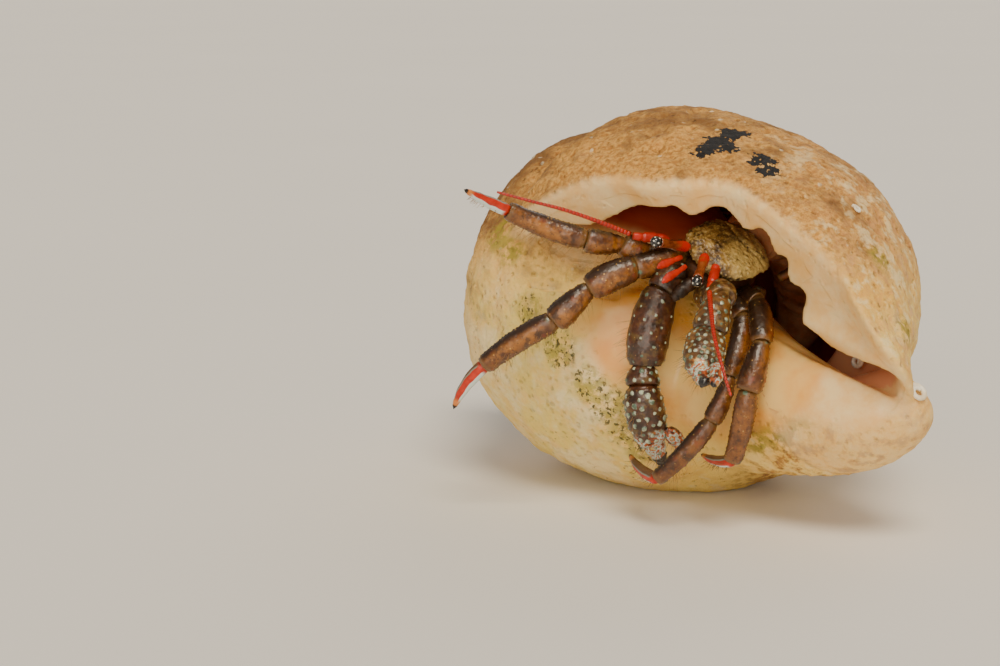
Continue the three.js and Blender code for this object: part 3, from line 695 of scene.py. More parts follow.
def old_shell():
    """Chalky cream outside with tan film, stains and growth lines; gloss on lip and callus. The lower left is
    whitened partly as a painted highlight, and the callus glaze is partly painted glow and shade.
    """
    look = bpy.context.scene.hermit_shell
    f = Finish("old shell", IOR=1.5, Subsurface_Weight=0.15, Subsurface_Scale=0.0015)
    f.shader.inputs["Subsurface Radius"].default_value = (1.0, 0.55, 0.25)
    turn, row, _ = f.parts(f.read("growth", True))
    inner, face, callus = f.read("inner"), f.read("face"), f.read("callus")
    x, y, z = f.parts(f.place)
    lines = f.cloud(1.0, 4, 0.6, f.vector(turn * 30, row * 0.5, 0))
    patches = f.cloud(0.0045, 4, 0.55)
    blotch = f.cloud(0.0017, 4, 0.6)
    grain = f.cloud(0.0003, 4, 0.7)
    fine = f.cloud(0.0007, 5, 0.65)
    high = z.between(0.0075, 0.0215)
    cream = f.blend(look.cream, look.pale_cream, patches.between(0.35, 0.65))
    cream = f.blend(cream, look.chalk, blotch.between(0.55, 0.72) * 0.7)
    tan = f.blend(look.tan, look.pale_tan, grain.between(0.35, 0.65))
    rear = y.between(-0.004, 0.010)
    tanned = high * 0.95 + rear * 0.4 + (patches - 0.5) * 0.9
    body = f.blend(cream, tan, tanned.between(0.25, 0.85) * 0.9)
    peach = x.between(0.004, 0.011) * (fine * 0.6 + blotch * 0.4).between(0.47, 0.60)
    body = f.blend(body, (0.70, 0.33, 0.13), peach * 0.55)
    chalk = x.between(0.001, 0.009) * (blotch * 0.5 + fine * 0.5).between(0.50, 0.40)
    body = f.blend(body, look.chalk, chalk * 0.6)
    left = x.between(0.002, -0.006) * y.between(0.008, 0.0)
    # Partly worn white patches, partly a painted highlight: the lower left is whitened.
    white = left * z.between(0.017, 0.008) * (blotch * 0.5 + patches * 0.5).between(0.58, 0.42)
    body = f.blend(body, look.chalk, white * 0.85)
    yellow = left * z.between(0.017, 0.010) * (patches * 0.6 + fine * 0.4).between(0.44, 0.58)
    body = f.blend(body, (0.76, 0.60, 0.12), yellow * 0.42)
    rust = x.between(0.001, 0.006) * z.between(0.010, 0.006) * (fine * 0.6 + blotch * 0.4).between(0.48, 0.58)
    body = f.blend(body, (0.36, 0.13, 0.020), rust * 0.9)
    film = z.between(-0.004, 0.024) * 0.85 + y.between(-0.008, 0.012) * 0.55
    film = film + (blotch - 0.5) * 1.1 + (lines - 0.5) * 0.8 + (patches - 0.5) * 1.6
    body = f.blend(body, look.film, film.between(0.72, 1.35) * 0.85)
    flecks = f.cells(0.0011).between(0.17, 0.09) * high * fine.between(0.45, 0.55)
    body = f.blend(body, (0.85, 0.72, 0.48), flecks * 0.7)
    algae = f.read("algae")
    green = f.read("green").most(algae * 0.8) * fine.between(0.40, 0.55)
    green = green.most((patches * 0.35 + fine * 0.65).between(0.60, 0.68) * 0.25)
    body = f.blend(body, look.green, green * 0.8)
    specks = f.cloud(0.00030, 2, 0.6).between(0.555, 0.62) * blotch.between(0.36, 0.50)
    body = f.blend(body, look.specks, algae.between(0.05, 0.7) * specks * 0.9)
    dust = f.cells(0.0007).between(0.13, 0.06) * blotch.between(0.45, 0.60)
    body = f.blend(body, (0.13, 0.07, 0.02), dust * 0.7)
    tar = f.read("tar") + (f.cloud(0.0007, 3, 0.7) - 0.5) * 2.0 + (f.cloud(0.00025, 2) - 0.5) * 1.2
    tar = tar.between(0.50, 0.58) * f.read("tar").between(0.02, 0.1)
    body = f.blend(body, look.tar, tar)
    lip = f.blend(look.lip, look.pale_lip, blotch.between(0.3, 0.7))
    # Partly the callus's own gloss colour, partly painted orange glow and shade under the crab.
    glaze_and_glow = f.blend(look.glaze_and_glow, look.pale_glaze, patches.between(0.35, 0.65))
    glazed_and_glowing = (callus + (patches - 0.5) * 0.7 + (blotch - 0.5) * 0.4).between(0.15, 0.80)
    glazed_and_glowing = glazed_and_glowing * callus.between(0.0, 0.15)
    colour = f.blend(body, lip, face)
    colour = f.blend(colour, glaze_and_glow, glazed_and_glowing * 0.92)
    throat = f.blend(look.throat, look.pale_throat, patches.between(0.3, 0.7))
    throat = f.blend(throat, look.canal, f.read("canal"))
    pillar = row.between(9.9, 10.7) * row.between(14.2, 13.4)
    wall = row.between(13.6, 14.3).most(row.between(3.2, 2.4))
    depth = turn.between(-0.015, -0.07) * (1 - wall) + turn.between(-0.004, -0.032) * wall
    depth = depth * (1 - pillar) + turn.between(-0.06, -0.17) * pillar
    rim = f.blend(lip, glaze_and_glow, callus.between(0.1, 0.6) * 0.9)
    colour = f.blend(colour, f.blend(rim, throat, depth), inner.between(0.40, 0.85))
    gloss = (face * 0.7).most(inner).most(callus)
    worn = 1 - gloss
    rough = 0.74 - gloss * 0.46 + grain * 0.06
    pits = f.cells(0.0005).between(0.40, 0.0) * fine.between(0.40, 0.60)
    height = grain * 0.5 * worn + lines * 0.5 * worn - pits * 0.8 * worn + patches * 0.15
    return f.feed(Base_Color=colour, Roughness=rough, Normal=f.bump(height, 0.9, 0.0003))


def worm_tube(bm, centre, facing, reach, thick):
    """One limy worm tube, coiled flat on the shell."""
    facing = Vector(facing).normalized()
    side = facing.orthogonal().normalized()
    other = facing.cross(side)
    angle = np.linspace(0, 2 * math.pi * 1.35, 48)
    share = angle / angle[-1]
    radius = reach * (0.42 + 0.58 * share)
    rise = thick * (0.9 - 0.5 * share)
    line = [Vector(centre) + side * (r * math.cos(a)) + other * (r * math.sin(a)) + facing * h
            for r, a, h in zip(radius, angle, rise)]
    half = thick * (0.55 + 0.45 * share) * (1 + 0.06 * np.sin(angle * 11))
    grow(bm, tube(line, half, half, 14, facing=facing))


def worm_tubes():
    bm = bmesh.new()
    worm_tube(bm, (20.94, 7.64, -3.02), (-0.75, -0.60, 0.15), 0.38, 0.16)
    worm_tube(bm, (23.15, 0.12, -3.44), (0.38, -0.65, 0.66), 0.52, 0.19)
    worm_tube(bm, (20.1, 4.15, 6.35), (0.55, -0.37, 0.75), 0.26, 0.10)
    obj = model(bm, "worm_tubes")
    lime = bpy.context.scene.hermit_shell.lime
    dark = deeper(lime, 0.88, 0.78, 0.64)
    return settle(obj, crust_finish("worm lime", dark, lime), [])


# ---------- stage ----------
CAMERA_DOWN = math.radians(10)  # how far the camera looks down


def stage_camera():
    place = bpy.data.cameras.new("camera")
    look = bpy.context.scene.hermit_stage
    place.lens = look.lens
    place.sensor_width = 36
    place.clip_start = 0.001
    place.clip_end = 20
    obj = linked("camera", place)
    aim = SHIFT * MM
    obj.location = aim + Vector((0, -math.cos(CAMERA_DOWN), math.sin(CAMERA_DOWN))) * look.distance
    obj.rotation_euler = (math.radians(90) - CAMERA_DOWN, 0, 0)
    bpy.context.scene.camera = obj


def lamp(name, come_from, power, colour, spread):
    """A soft light as if from far away."""
    light = bpy.data.lights.new(name, "SUN")
    light.energy = power
    light.color = colour
    light.angle = spread
    obj = linked(name, light)
    obj.location = come_from
    obj.rotation_euler = (Vector((0, 0, 0.01)) - Vector(come_from)).to_track_quat("-Z", "Y").to_euler()


def stage():
    """The floor, the soft light and the camera."""
    look = bpy.context.scene.hermit_stage
    bm = bmesh.new()
    bmesh.ops.create_grid(bm, x_segments=8, y_segments=8, size=3)
    mesh = bpy.data.meshes.new("floor")
    bm.to_mesh(mesh)
    bm.free()
    floor = linked("floor", mesh)
    f = Finish("floor", Roughness=0.8)
    shade = f.cloud(0.05)
    dim = deeper(look.floor, 0.96)
    mesh.materials.append(f.feed(Base_Color=f.blend(dim, look.floor, shade)))
    world = bpy.data.worlds.new("room")
    world.use_nodes = True
    world.node_tree.nodes["Background"].inputs["Color"].default_value = (*look.room, 1)
    world.node_tree.nodes["Background"].inputs["Strength"].default_value = look.room_strength
    bpy.context.scene.world = world
    lamp("key", (0.02, -0.12, 0.20), look.key_strength, (1.0, 0.87, 0.68), math.radians(28))
    lamp("front", (-0.05, -0.20, 0.045), look.front_strength, (1.0, 0.90, 0.76), math.radians(45))
    lamp("back", (0.10, 0.20, 0.14), look.back_strength, (1.0, 0.90, 0.76), math.radians(40))
    stage_camera()


# ---------- the crab's measures, in millimetres, repeated from the part's source ----------
BODY_MIDDLE = Vector((12.85, 7.17, 3.26))
BODY_FORWARD = Vector((-0.750, -0.655, -0.088)).normalized()
BODY_RIGHT = Vector((-0.562, 0.562, 0.606)).normalized()
BODY_UP = BODY_RIGHT.cross(BODY_FORWARD)
FACING = Vector((0, -1, 0.18)).normalized()
WALKING = ("base", "merus", "carpus", "propodus", "dactyl")
CLAW = ("base", "merus", "carpus", "palm")
LEGS = {
    "leg_right_2": (
        WALKING, (0.75, 0.84, 0.78, 0.67, 0.41),
        ((10.6, 8.1, 2.95), (7.84, 7.05, 2.58), (5.14, 6.66, 1.44), (3.18, 6.57, -0.43),
         (-0.88, 7.6, -3.24), (-2.74, 8.09, -5.97))),
    "leg_right_3": (
        WALKING, (0.7, 0.73, 0.69, 0.64, 0.36),
        ((10.75, 8.16, 3.54), (8.6, 7.88, 3.19), (7.11, 7.75, 3.91), (4.97, 7.29, 4.2),
         (0.46, 6.98, 5.94), (-2.05, 5.56, 7.32))),
    "leg_left_2": (
        WALKING, (0.58, 0.57, 0.54, 0.54, 0.35),
        ((13.21, 6.78, 0.82), (13.95, 5.44, 0.06), (13.09, 3.66, -3.16), (12.05, 3.32, -5.68),
         (9.02, 4.06, -9.22), (7.59, 6.94, -8.42))),
    "leg_left_3": (
        WALKING, (0.63, 0.66, 0.73, 0.62, 0.34),
        ((13.9, 7.2, 0.91), (14.77, 5.82, 0.78), (14.82, 3.35, -1.16), (14.02, 2.49, -3.76),
         (13.26, 3.07, -7.93), (11.65, 5.48, -8.09))),
    "claw_right": (
        CLAW, (0.93, 1.16, 0.95, 1.12),
        ((10.52, 7.66, 2.38), (9.3, 6.67, 1.25), (8.4, 5.83, -2.94), (8.21, 5.28, -4.03),
         (9.57, 6.27, -8.81))),
    "claw_left": (
        CLAW, (0.86, 0.97, 0.95, 1.11),
        ((11.75, 6.81, 1.1), (12.17, 5.0, 1.24), (12.48, 3.0, 1.44), (11.73, 1.78, -0.26),
         (11.22, -1.77, -2.52))),
}
FINGERS = {
    "claw_right_finger": ((9.7, 5.12, -6.65), (10.7, 5.89, -8.06), 0.46),
    "claw_left_finger": ((11.97, -0.6, -1.69), (11.61, -2.38, -2.57), 0.41),
}
# Outlines of the kinds of piece: share of the length, share of the half width. The first and
# last rows tuck a narrower neck and a rounded rim inside the neighbours.
OUTLINES = {
    "base": ((0, 0.80), (0.35, 1), (0.9, 0.97), (1, 0.86)),
    "merus": ((0, 0.74), (0.09, 0.88), (0.35, 1), (0.70, 1.02), (0.90, 0.93), (1, 0.78)),
    "carpus": ((0, 0.60), (0.14, 0.74), (0.40, 0.90), (0.76, 1.04), (0.93, 1.0), (1, 0.86)),
    "propodus": ((0, 0.74), (0.07, 0.92), (0.2, 1), (0.55, 0.97), (0.85, 0.86), (0.95, 0.86), (1, 0.76)),
    "dactyl": ((0, 0.86), (0.08, 1), (0.3, 0.98), (0.6, 0.78), (0.85, 0.50), (0.93, 0.36), (1, 0.05)),
    "palm": ((0, 0.66), (0.05, 0.84), (0.15, 0.99), (0.38, 1), (0.56, 0.84), (0.72, 0.55), (0.88, 0.38),
             (0.96, 0.28), (1, 0.12)),
    "finger": ((0, 0.7), (0.1, 0.9), (0.3, 1), (0.68, 0.78), (0.9, 0.5), (1, 0.16)),
}
FLATNESS = 0.9
BOW = {"dactyl": 0.065, "palm": 0.11}
OTHER_BOW = 0.045
ON_TRUNK = {
    "leg_right_4": ((-1.7, -1.0, 2.2), (-0.9, -1.9, 2.6), (-0.1, -2.6, 2.3), (0.3, -3.0, 1.9)),
    "leg_left_4": ((-2.1, -1.2, -2.1), (-1.9, -2.1, -2.2), (-1.2, -2.6, -2.0), (-0.8, -2.8, -1.7)),
    "leg_right_5": ((-3.3, -0.6, 2.0), (-3.6, 0.5, 2.3), (-3.4, 1.3, 1.9), (-3.0, 1.7, 1.4)),
    "leg_left_5": ((-3.6, -0.8, -2.0), (-4.0, 0.2, -2.3), (-3.8, 1.0, -2.0), (-3.4, 1.5, -1.5)),
    "mouthpart_right": ((2.0, -1.2, 0.55), (2.7, -1.8, 0.62), (3.0, -2.5, 0.55)),
    "mouthpart_left": ((2.0, -1.25, -0.35), (2.7, -1.85, -0.38), (3.0, -2.5, -0.3)),
}
SMALL_HALF = {"4": (0.44, 0.44, 0.38, 0.22), "5": (0.29, 0.29, 0.27, 0.18), "m": (0.38, 0.38, 0.22)}
ANTENNULES = {
    "antennule_right": ((10.39, 5.28, 3.48), (9.91, 4.86, 3.36), (9.31, 4.42, 3.2), (8.89, 3.99, 3.03)),
    "antennule_left": ((10.61, 5.0, 3.0), (10.18, 4.55, 2.78), (9.58, 4.0, 2.52), (9.15, 3.54, 2.24)),
}
ANTENNA_BASES = {
    "antenna_base_right": ((9.7, 7.03, 4.16), (8.99, 6.76, 4.37), (8.22, 6.47, 4.46), (7.64, 6.29, 4.55)),
    "antenna_base_left": ((12.42, 5.51, 3.04), (12.25, 4.84, 2.68), (12.02, 4.04, 2.17), (11.87, 3.58, 1.89)),
}
ANTENNAE = {
    "antenna_right": ((7.45, 6.11, 4.69), (5.71, 5.63, 5.44), (3.7, 5.15, 6.19), (1.7, 4.85, 6.75),
                      (-0.17, 4.73, 7.27)),
    "antenna_left": ((11.75, 2.47, 1.9), (11.7, 0.73, 1.28), (11.71, -1.4, 0.14), (12.0, -3.26, -1.24),
                     (12.43, -4.13, -2.71)),
}
EYES = {
    "right": ((10.7, 5.68, 4.0), (8.9, 3.84, 4.53)),
    "left": ((11.71, 5.38, 3.46), (11.12, 3.25, 2.46)),
}
EYE_RADIUS, EYE_DEPTH = 0.34, 0.39
SHIELD = (
    (-2.42, 1.15, 0.62, 0.05), (-2.20, 1.70, 0.95, -0.30), (-1.20, 2.15, 1.22, -0.30),
    (0.00, 2.25, 1.30, -0.30), (1.10, 2.05, 1.15, -0.30), (1.75, 1.60, 0.95, -0.20),
    (2.10, 0.95, 0.75, 0.00), (2.42, 0.25, 0.55, 0.30),
)
THORAX = (
    (-2.30, 1.00, -0.70, -1.60), (-2.10, 1.45, -0.50, -2.00), (-1.00, 1.60, -0.42, -2.35),
    (0.40, 1.50, -0.42, -2.30), (1.40, 1.10, -0.42, -1.90), (1.85, 0.60, -0.42, -1.30),
)
TAIL = (
    (-0.072, 0.178, 1.45, 1.25), (-0.080, 0.180, 1.90, 1.60), (-0.110, 0.184, 2.20, 1.85),
    (-0.140, 0.184, 2.05, 1.75), (-0.154, 0.184, 1.70, 1.50), (-0.168, 0.184, 2.00, 1.85),
    (-0.210, 0.182, 2.30, 2.10), (-0.245, 0.180, 2.25, 2.05), (-0.285, 0.178, 2.10, 1.90),
    (-0.325, 0.176, 1.80, 1.65), (-0.370, 0.174, 1.40, 1.30), (-0.405, 0.172, 1.00, 0.95),
)
TAIL_FAN = ((-0.400, 0.172, 0.70, 0.50), (-0.425, 0.172, 1.25, 0.55), (-0.442, 0.172, 0.90, 0.40))
TAIL_HEIGHT = -0.69


# ---------- the crab's shapes ----------
CLAW_SIDES, FINGER_SIDES, LEG_SIDES = 132, 90, 48  # points round each kind of limb
LOWER = Vector((0.35, 0, -0.94)).normalized()  # towards the underside of the reaching limbs


def at(a, b, c):
    """A point given forward, up and right of the trunk's middle."""
    return BODY_MIDDLE + BODY_FORWARD * a + BODY_UP * b + BODY_RIGHT * c


def tube(line, wide_half, deep_half, count, facing=FACING, wobble=None, order=slice(None)):
    """Rings round a line of points; wobble gives a factor for each ring and way round, and
    order the run of the points where a tucked end turns back."""
    line = np.asarray(line, float)
    heading = np.empty_like(line)
    heading[order] = np.gradient(line[order], axis=0)
    heading = unit(heading)
    wide = unit(np.cross(heading, np.asarray(facing, float)))
    deep = np.cross(wide, heading)
    way = ways(count)
    factor = np.ones((len(line), count)) if wobble is None else wobble
    w = (np.asarray(wide_half)[:, None] * factor)[..., None] * np.cos(way)[None, :, None]
    d = (np.asarray(deep_half)[:, None] * factor)[..., None] * np.sin(way)[None, :, None]
    return line[:, None] + w * wide[:, None] + d * deep[:, None]


def jointed(kind, start, end, around, half, count):
    """Rings and shares for one jointed piece, with a neck tucked into the piece before it and a
    rim turned in at its far end."""
    start, end, around = (np.asarray(p, float) for p in (start, end, around))
    chord = end - start
    length = np.linalg.norm(chord)
    heading = chord / length
    away = (start + end) / 2 - around
    away -= heading * (away @ heading)
    away /= np.linalg.norm(away)
    bow = BOW.get(kind, OTHER_BOW) * length
    tucked = 0.45 * half / length
    steps = max(20, int(length / (0.05 if count > 60 else 0.08)))
    s = np.concatenate([np.linspace(-tucked, -0.01, 5), np.linspace(0, 1, steps)])
    neck = 0.78 * level(OUTLINES[kind], 0.0) * (1 + s / tucked * 0.35)
    share = np.where(s < 0, neck, level(OUTLINES[kind], np.clip(s, 0, 1)))
    if kind not in ("dactyl", "palm", "finger"):
        lip = share[-1]
        s = np.concatenate([s, (0.996, 0.985, 0.965, 0.94)])
        share = np.concatenate([share, np.array((0.90, 0.78, 0.6, 0.35)) * lip])
        s[-5] = 1.0
    line = start + chord * s[:, None] + away * (bow * 4 * s * (1 - s))[:, None]
    wide = half * share
    way = ways(count)
    belly = np.sin(math.pi * np.clip(s, 0, 1))[:, None]
    ridge = 1 + 0.035 * np.cos(2 * way)[None, :] + 0.03 * np.sin(way)[None, :] * belly
    run = np.argsort(s, kind="stable")
    return tube(line, wide, wide * FLATNESS, count, wobble=ridge, order=run), s


def limb_rings(name):
    """Rings and shares for the named piece of a jointed limb."""
    if name in FINGERS:
        start, end, half = FINGERS[name]
        around = LEGS[name.replace("_finger", "")][2][-1]
        return jointed("finger", start, end, around, half, FINGER_SIDES)
    limb, kind = name.rsplit("_", 1)
    kinds, halves, joints = LEGS[limb]
    i = kinds.index(kind)
    before = np.array(joints[max(0, i - 1)])
    around = before if i + 2 >= len(joints) else (before + np.array(joints[i + 2])) / 2
    sides = CLAW_SIDES if limb.startswith("claw") else LEG_SIDES
    return jointed(kind, joints[i], joints[i + 1], around, halves[i], sides)


def lie_of(mesh, count):
    """Keeps for each point the cosine and sine of its way round and its share along."""
    column = np.empty(len(mesh.vertices), np.int32)
    along = np.empty(len(mesh.vertices), np.float32)
    mesh.attributes["column"].data.foreach_get("value", column)
    mesh.attributes["along"].data.foreach_get("value", along)
    way = column * 2 * math.pi / count
    lie = np.stack([np.cos(way), np.sin(way), along], -1)
    for spare in ("column", "along"):
        mesh.attributes.remove(mesh.attributes[spare])
    keep(mesh, "lie", lie)
    return way, along


def along_of(mesh):
    """The share along that a mesh keeps for each point."""
    lie = np.empty(len(mesh.vertices) * 3, np.float32)
    mesh.attributes["lie"].data.foreach_get("vector", lie)
    return lie[2::3]


def studs(points, centres, radius, height):
    """Lift and cover of small rounded bumps standing on a surface."""
    tree = tree_of(centres, range(len(centres)))
    found = [tree.find(Vector(p)) for p in points]
    gap = np.array([f[2] for f in found]) * (1 + 0.4 * noises(points, 0.17, 6, 1))
    scale = np.array([0.75 + 0.5 * ((f[1] * 37) % 17) / 17 for f in found])
    share = np.clip(gap / (radius * scale), 0, 1)
    return height * scale * smooth(1, 0.1, share), smooth(1.0, 0.72, share)


AROUND = [(x, y, z) for x in (-1, 0, 1) for y in (-1, 0, 1) for z in (-1, 0, 1)]


def scattered(points, gap, rng, chance=None):
    """Picks points at least a gap apart, in a fixed random order."""
    order = list(range(len(points)))
    rng.shuffle(order)
    taken = {}
    picked = []
    for i in order:
        if chance is not None and rng.random() > chance[i]:
            continue
        p = points[i]
        cell = tuple(int(math.floor(c / gap)) for c in p)
        near = [taken.get((cell[0] + x, cell[1] + y, cell[2] + z), ()) for x, y, z in AROUND]
        if all(np.sum((points[j] - p) ** 2) > gap * gap for cellful in near for j in cellful):
            taken.setdefault(cell, []).append(i)
            picked.append(i)
    return np.array(picked)


def crust(name, rings, shares, relief=0.02, size=0.5, bumps=None):
    """A limb piece's mesh, with gentle relief and any bumps, still in millimetres."""
    bm = bmesh.new()
    grow(bm, rings, shares)
    mesh = mesh_from(bm, name)
    way, along = lie_of(mesh, len(rings[0]))
    points, normals = points_of(mesh), normals_of(mesh)
    lift = relief * noises(points, size, 4)
    cover = np.zeros(len(points))
    if bumps:
        gap, radius, height, where = bumps
        rng = random.Random(len(name))
        centres = points[scattered(points, gap, rng, where(way, along))]
        rise, cover = studs(points, centres, radius, height * bpy.context.scene.hermit_crab.stud)
        lift = lift + rise
    points = points + normals * lift[:, None]
    keep(mesh, "bump", cover)
    keep(mesh, "low", normals @ np.array(LOWER))
    move_points(mesh, placed(points))
    mesh.shade_smooth()
    return linked(name, mesh)


# ---------- finishes of the crab ----------
def leg_finish():
    """Dark brown with a black upper edge, a painted amber highlight along the middles, painted shade on the
    undersides, fine specks and olive joints.
    """
    look = bpy.context.scene.hermit_crab
    f = Finish(
        "leg crust", IOR=1.5, Subsurface_Weight=0.15, Subsurface_Scale=0.0005, Coat_Weight=0.4,
        Coat_Roughness=0.14)
    f.shader.inputs["Subsurface Radius"].default_value = (1.0, 0.4, 0.15)
    along = f.parts(f.read("lie", True))[2]
    low = f.read("low")
    cloud = f.cloud(0.0009, 4, 0.6)
    fine = f.cloud(0.00025, 4, 0.65)
    colour = f.blend(look.leg_dark, look.leg_light, (cloud * 0.6 + fine * 0.4).between(0.36, 0.64))
    # Painted highlight: an amber band where the pieces face sideways, stronger on the legs at the left.
    highlight_band = (low - 0.12).maths("ABSOLUTE").between(0.75, 0.05)
    highlight_band = highlight_band * along.between(0.02, 0.3) * along.between(1.0, 0.7)
    highlight_band = highlight_band * (f.parts(f.place)[0].between(0.0, -0.004) * 0.65 + 0.35)
    colour = f.blend(colour, look.leg_highlight, highlight_band * cloud.between(0.38, 0.60) * 0.75)
    colour = f.blend(colour, (0.035, 0.014, 0.005), f.cloud(0.0007, 4, 0.65).between(0.53, 0.66) * 0.7)
    colour = f.blend(colour, (0.30, 0.040, 0.007), f.cloud(0.0006, 3).between(0.58, 0.72) * 0.45)
    edge = ((cloud - 0.5) * 0.6 - low).between(0.22, 0.72)
    colour = f.blend(colour, look.leg_edge, edge * 0.92)
    # Painted shade: the undersides are darker.
    below = (low + (fine - 0.5) * 0.5).between(0.72, 1.0)
    colour = f.blend(colour, (0.055, 0.016, 0.005), below * 0.7)
    ends = along.between(0.10, 0.02).most(along.between(0.92, 0.98))
    colour = f.blend(colour, (0.20, 0.105, 0.026), ends * 0.55)
    spots = f.cells(0.00075).between(0.24, 0.14) * ends
    colour = f.blend(colour, (0.13, 0.21, 0.14), spots * 0.9)
    colour = f.blend(colour, (0.17, 0.075, 0.022), along.between(0.0, -0.03))
    dots = f.cells(0.00024).between(0.22, 0.08) * cloud.between(0.42, 0.56)
    colour = f.blend(colour, (0.014, 0.006, 0.003), dots * 0.85)
    pale = f.cells(0.00034).between(0.19, 0.09) * fine.between(0.47, 0.55)
    colour = f.blend(colour, (0.62, 0.36, 0.09), pale * 0.8)
    relief = fine * 0.6 + f.cells(0.0004).between(0.35, 0.0) * 0.4
    return f.feed(Base_Color=colour, Roughness=0.22 + fine * 0.24, Normal=f.bump(relief, 0.8, 0.00008))


def tip_finish():
    """Red between a white stripe below and a dark line above, with a black claw."""
    look = bpy.context.scene.hermit_crab
    f = Finish("leg tip", IOR=1.5, Subsurface_Weight=0.1, Subsurface_Scale=0.0003)
    along = f.parts(f.read("lie", True))[2]
    low = f.read("low") + (f.cloud(0.0006, 3) - 0.5) * 0.25
    middle = along.between(0.04, 0.13) * along.between(0.90, 0.80)
    patches = f.cloud(0.0004)
    deep = deeper(look.tip_red, 0.72)
    colour = f.blend(deep, look.tip_red, patches.between(0.35, 0.65))
    colour = f.blend(colour, (0.080, 0.062, 0.026), low.between(-0.50, -0.62) * along.between(0.0, 0.1) * 0.9)
    line = low.between(-0.40, -0.48) * low.between(-0.66, -0.58) * middle
    colour = f.blend(colour, (0.22, 0.24, 0.19), line)
    colour = f.blend(colour, look.tip_white, low.between(0.28, 0.38) * middle)
    colour = f.blend(colour, (0.70, 0.27, 0.06), along.between(0.76, 0.86) * 0.8)
    colour = f.blend(colour, look.black, along.between(0.90, 0.94))
    grain = f.cloud(0.0001, 3)
    return f.feed(Base_Color=colour, Roughness=0.26 + grain * 0.15, Normal=f.bump(grain, 0.4, 0.00004))


def claw_finish(name, dark, light, gold):
    """Dark crust with pale green-white bumps, streaked fingers and black spoon tips."""
    look = bpy.context.scene.hermit_crab
    f = Finish(name, IOR=1.5, Coat_Weight=0.4, Coat_Roughness=0.14)
    bump, finger = f.read("bump"), f.read("finger")
    cloud = f.cloud(0.0011, 4, 0.6)
    fine = f.cloud(0.0003, 4, 0.65)
    warm = f.cloud(0.0006, 3)
    colour = f.blend(dark, light, (cloud * 0.6 + fine * 0.4).between(0.38, 0.66))
    colour = f.blend(colour, gold, warm.between(0.52, 0.68) * 0.6)
    flecks = f.cells(0.00030).between(0.16, 0.06) * fine.between(0.46, 0.54)
    colour = f.blend(colour, (0.55, 0.30, 0.08), flecks * 0.7)
    pale = f.blend((0.085, 0.14, 0.095), look.stud_pale, f.cloud(0.00045, 3).between(0.40, 0.60))
    patch = f.cloud(0.00055, 3, 0.55)
    mouth = f.blend((0.07, 0.020, 0.006), (0.44, 0.085, 0.014), patch.between(0.36, 0.44))
    mouth = f.blend(mouth, (0.58, 0.66, 0.58), patch.between(0.47, 0.51))
    mouth = f.blend(mouth, (0.56, 0.14, 0.020), patch.between(0.56, 0.59))
    mouth = f.blend(mouth, (0.74, 0.54, 0.22), patch.between(0.62, 0.67))
    reach = finger + (warm - 0.5) * 0.35
    colour = f.blend(colour, mouth, reach.between(0.56, 0.66) * 0.94)
    colour = f.blend(colour, pale, bump.between(0.35, 0.95) * 0.95)
    colour = f.blend(colour, look.black, (finger + (fine - 0.5) * 0.05).between(0.905, 0.93))
    relief = fine * 0.6 + f.cells(0.00035).between(0.35, 0.0) * 0.3
    return f.feed(Base_Color=colour, Roughness=0.22 + fine * 0.26, Normal=f.bump(relief, 0.8, 0.00008))


def shield_finish():
    """Mottled olive brown and gold with fine bumps."""
    look = bpy.context.scene.hermit_crab
    f = Finish("shield", IOR=1.5, Coat_Weight=0.3, Coat_Roughness=0.18)
    cloud = f.cloud(0.0010, 5, 0.62)
    fine = f.cloud(0.00028, 4, 0.65)
    bump = f.read("bump")
    colour = f.blend(look.shield_dark, (0.25, 0.135, 0.026), cloud.between(0.38, 0.60))
    gold = (fine * 0.55 + cloud * 0.45).between(0.50, 0.60)
    colour = f.blend(colour, look.shield_gold, gold * 0.85)
    colour = f.blend(colour, (0.70, 0.55, 0.24), (fine * 0.5 + cloud * 0.5).between(0.585, 0.66) * 0.8)
    colour = f.blend(colour, (0.022, 0.010, 0.004), f.cells(0.00045).between(0.24, 0.08) * 0.8)
    colour = f.blend(colour, (0.62, 0.44, 0.15), bump.between(0.5, 1.0) * 0.35)
    bright = f.near(at(-0.6, 0.7, -1.6), 1.5, 0.5) * (fine * 0.6 + cloud * 0.4).between(0.36, 0.50)
    colour = f.blend(colour, (0.80, 0.58, 0.18), bright * 0.85)
    relief = f.cells(0.0004).between(0.45, 0.0) * 0.7 + fine * 0.8
    return f.feed(Base_Color=colour, Roughness=0.22 + fine * 0.26, Normal=f.bump(relief, 0.9, 0.00012))


def crust_finish(name, dark, light):
    """A satin crust of two mixed colours."""
    f = Finish(name, IOR=1.5)
    cloud = f.cloud(0.0008, 4)
    grain = f.cloud(0.00015, 3)
    colour = f.blend(dark, light, cloud.between(0.35, 0.68))
    return f.feed(Base_Color=colour, Roughness=0.30 + grain * 0.2, Normal=f.bump(grain, 0.5, 0.00006))


def skin_finish():
    """Soft pink-brown skin with a fine grain."""
    f = Finish("soft skin", IOR=1.45, Subsurface_Weight=0.4, Subsurface_Scale=0.001)
    cloud = f.cloud(0.0018, 4)
    grain = f.cloud(0.0003, 4)
    skin = bpy.context.scene.hermit_crab.skin
    deep = deeper(skin, 0.68, 0.45, 0.35)
    colour = f.blend(deep, skin, cloud.between(0.35, 0.65))
    return f.feed(Base_Color=colour, Roughness=0.28 + grain * 0.2, Normal=f.bump(grain, 0.6, 0.00012))


def eye_finish():
    """Wet black with small white dots."""
    f = Finish("eye", IOR=1.5, Coat_Weight=0.8, Coat_Roughness=0.05)
    dot = f.read("dot")
    colour = f.blend((0.005, 0.005, 0.006), (0.86, 0.82, 0.70), dot.between(0.3, 0.7))
    return f.feed(Base_Color=colour, Roughness=0.12 + dot * 0.25)


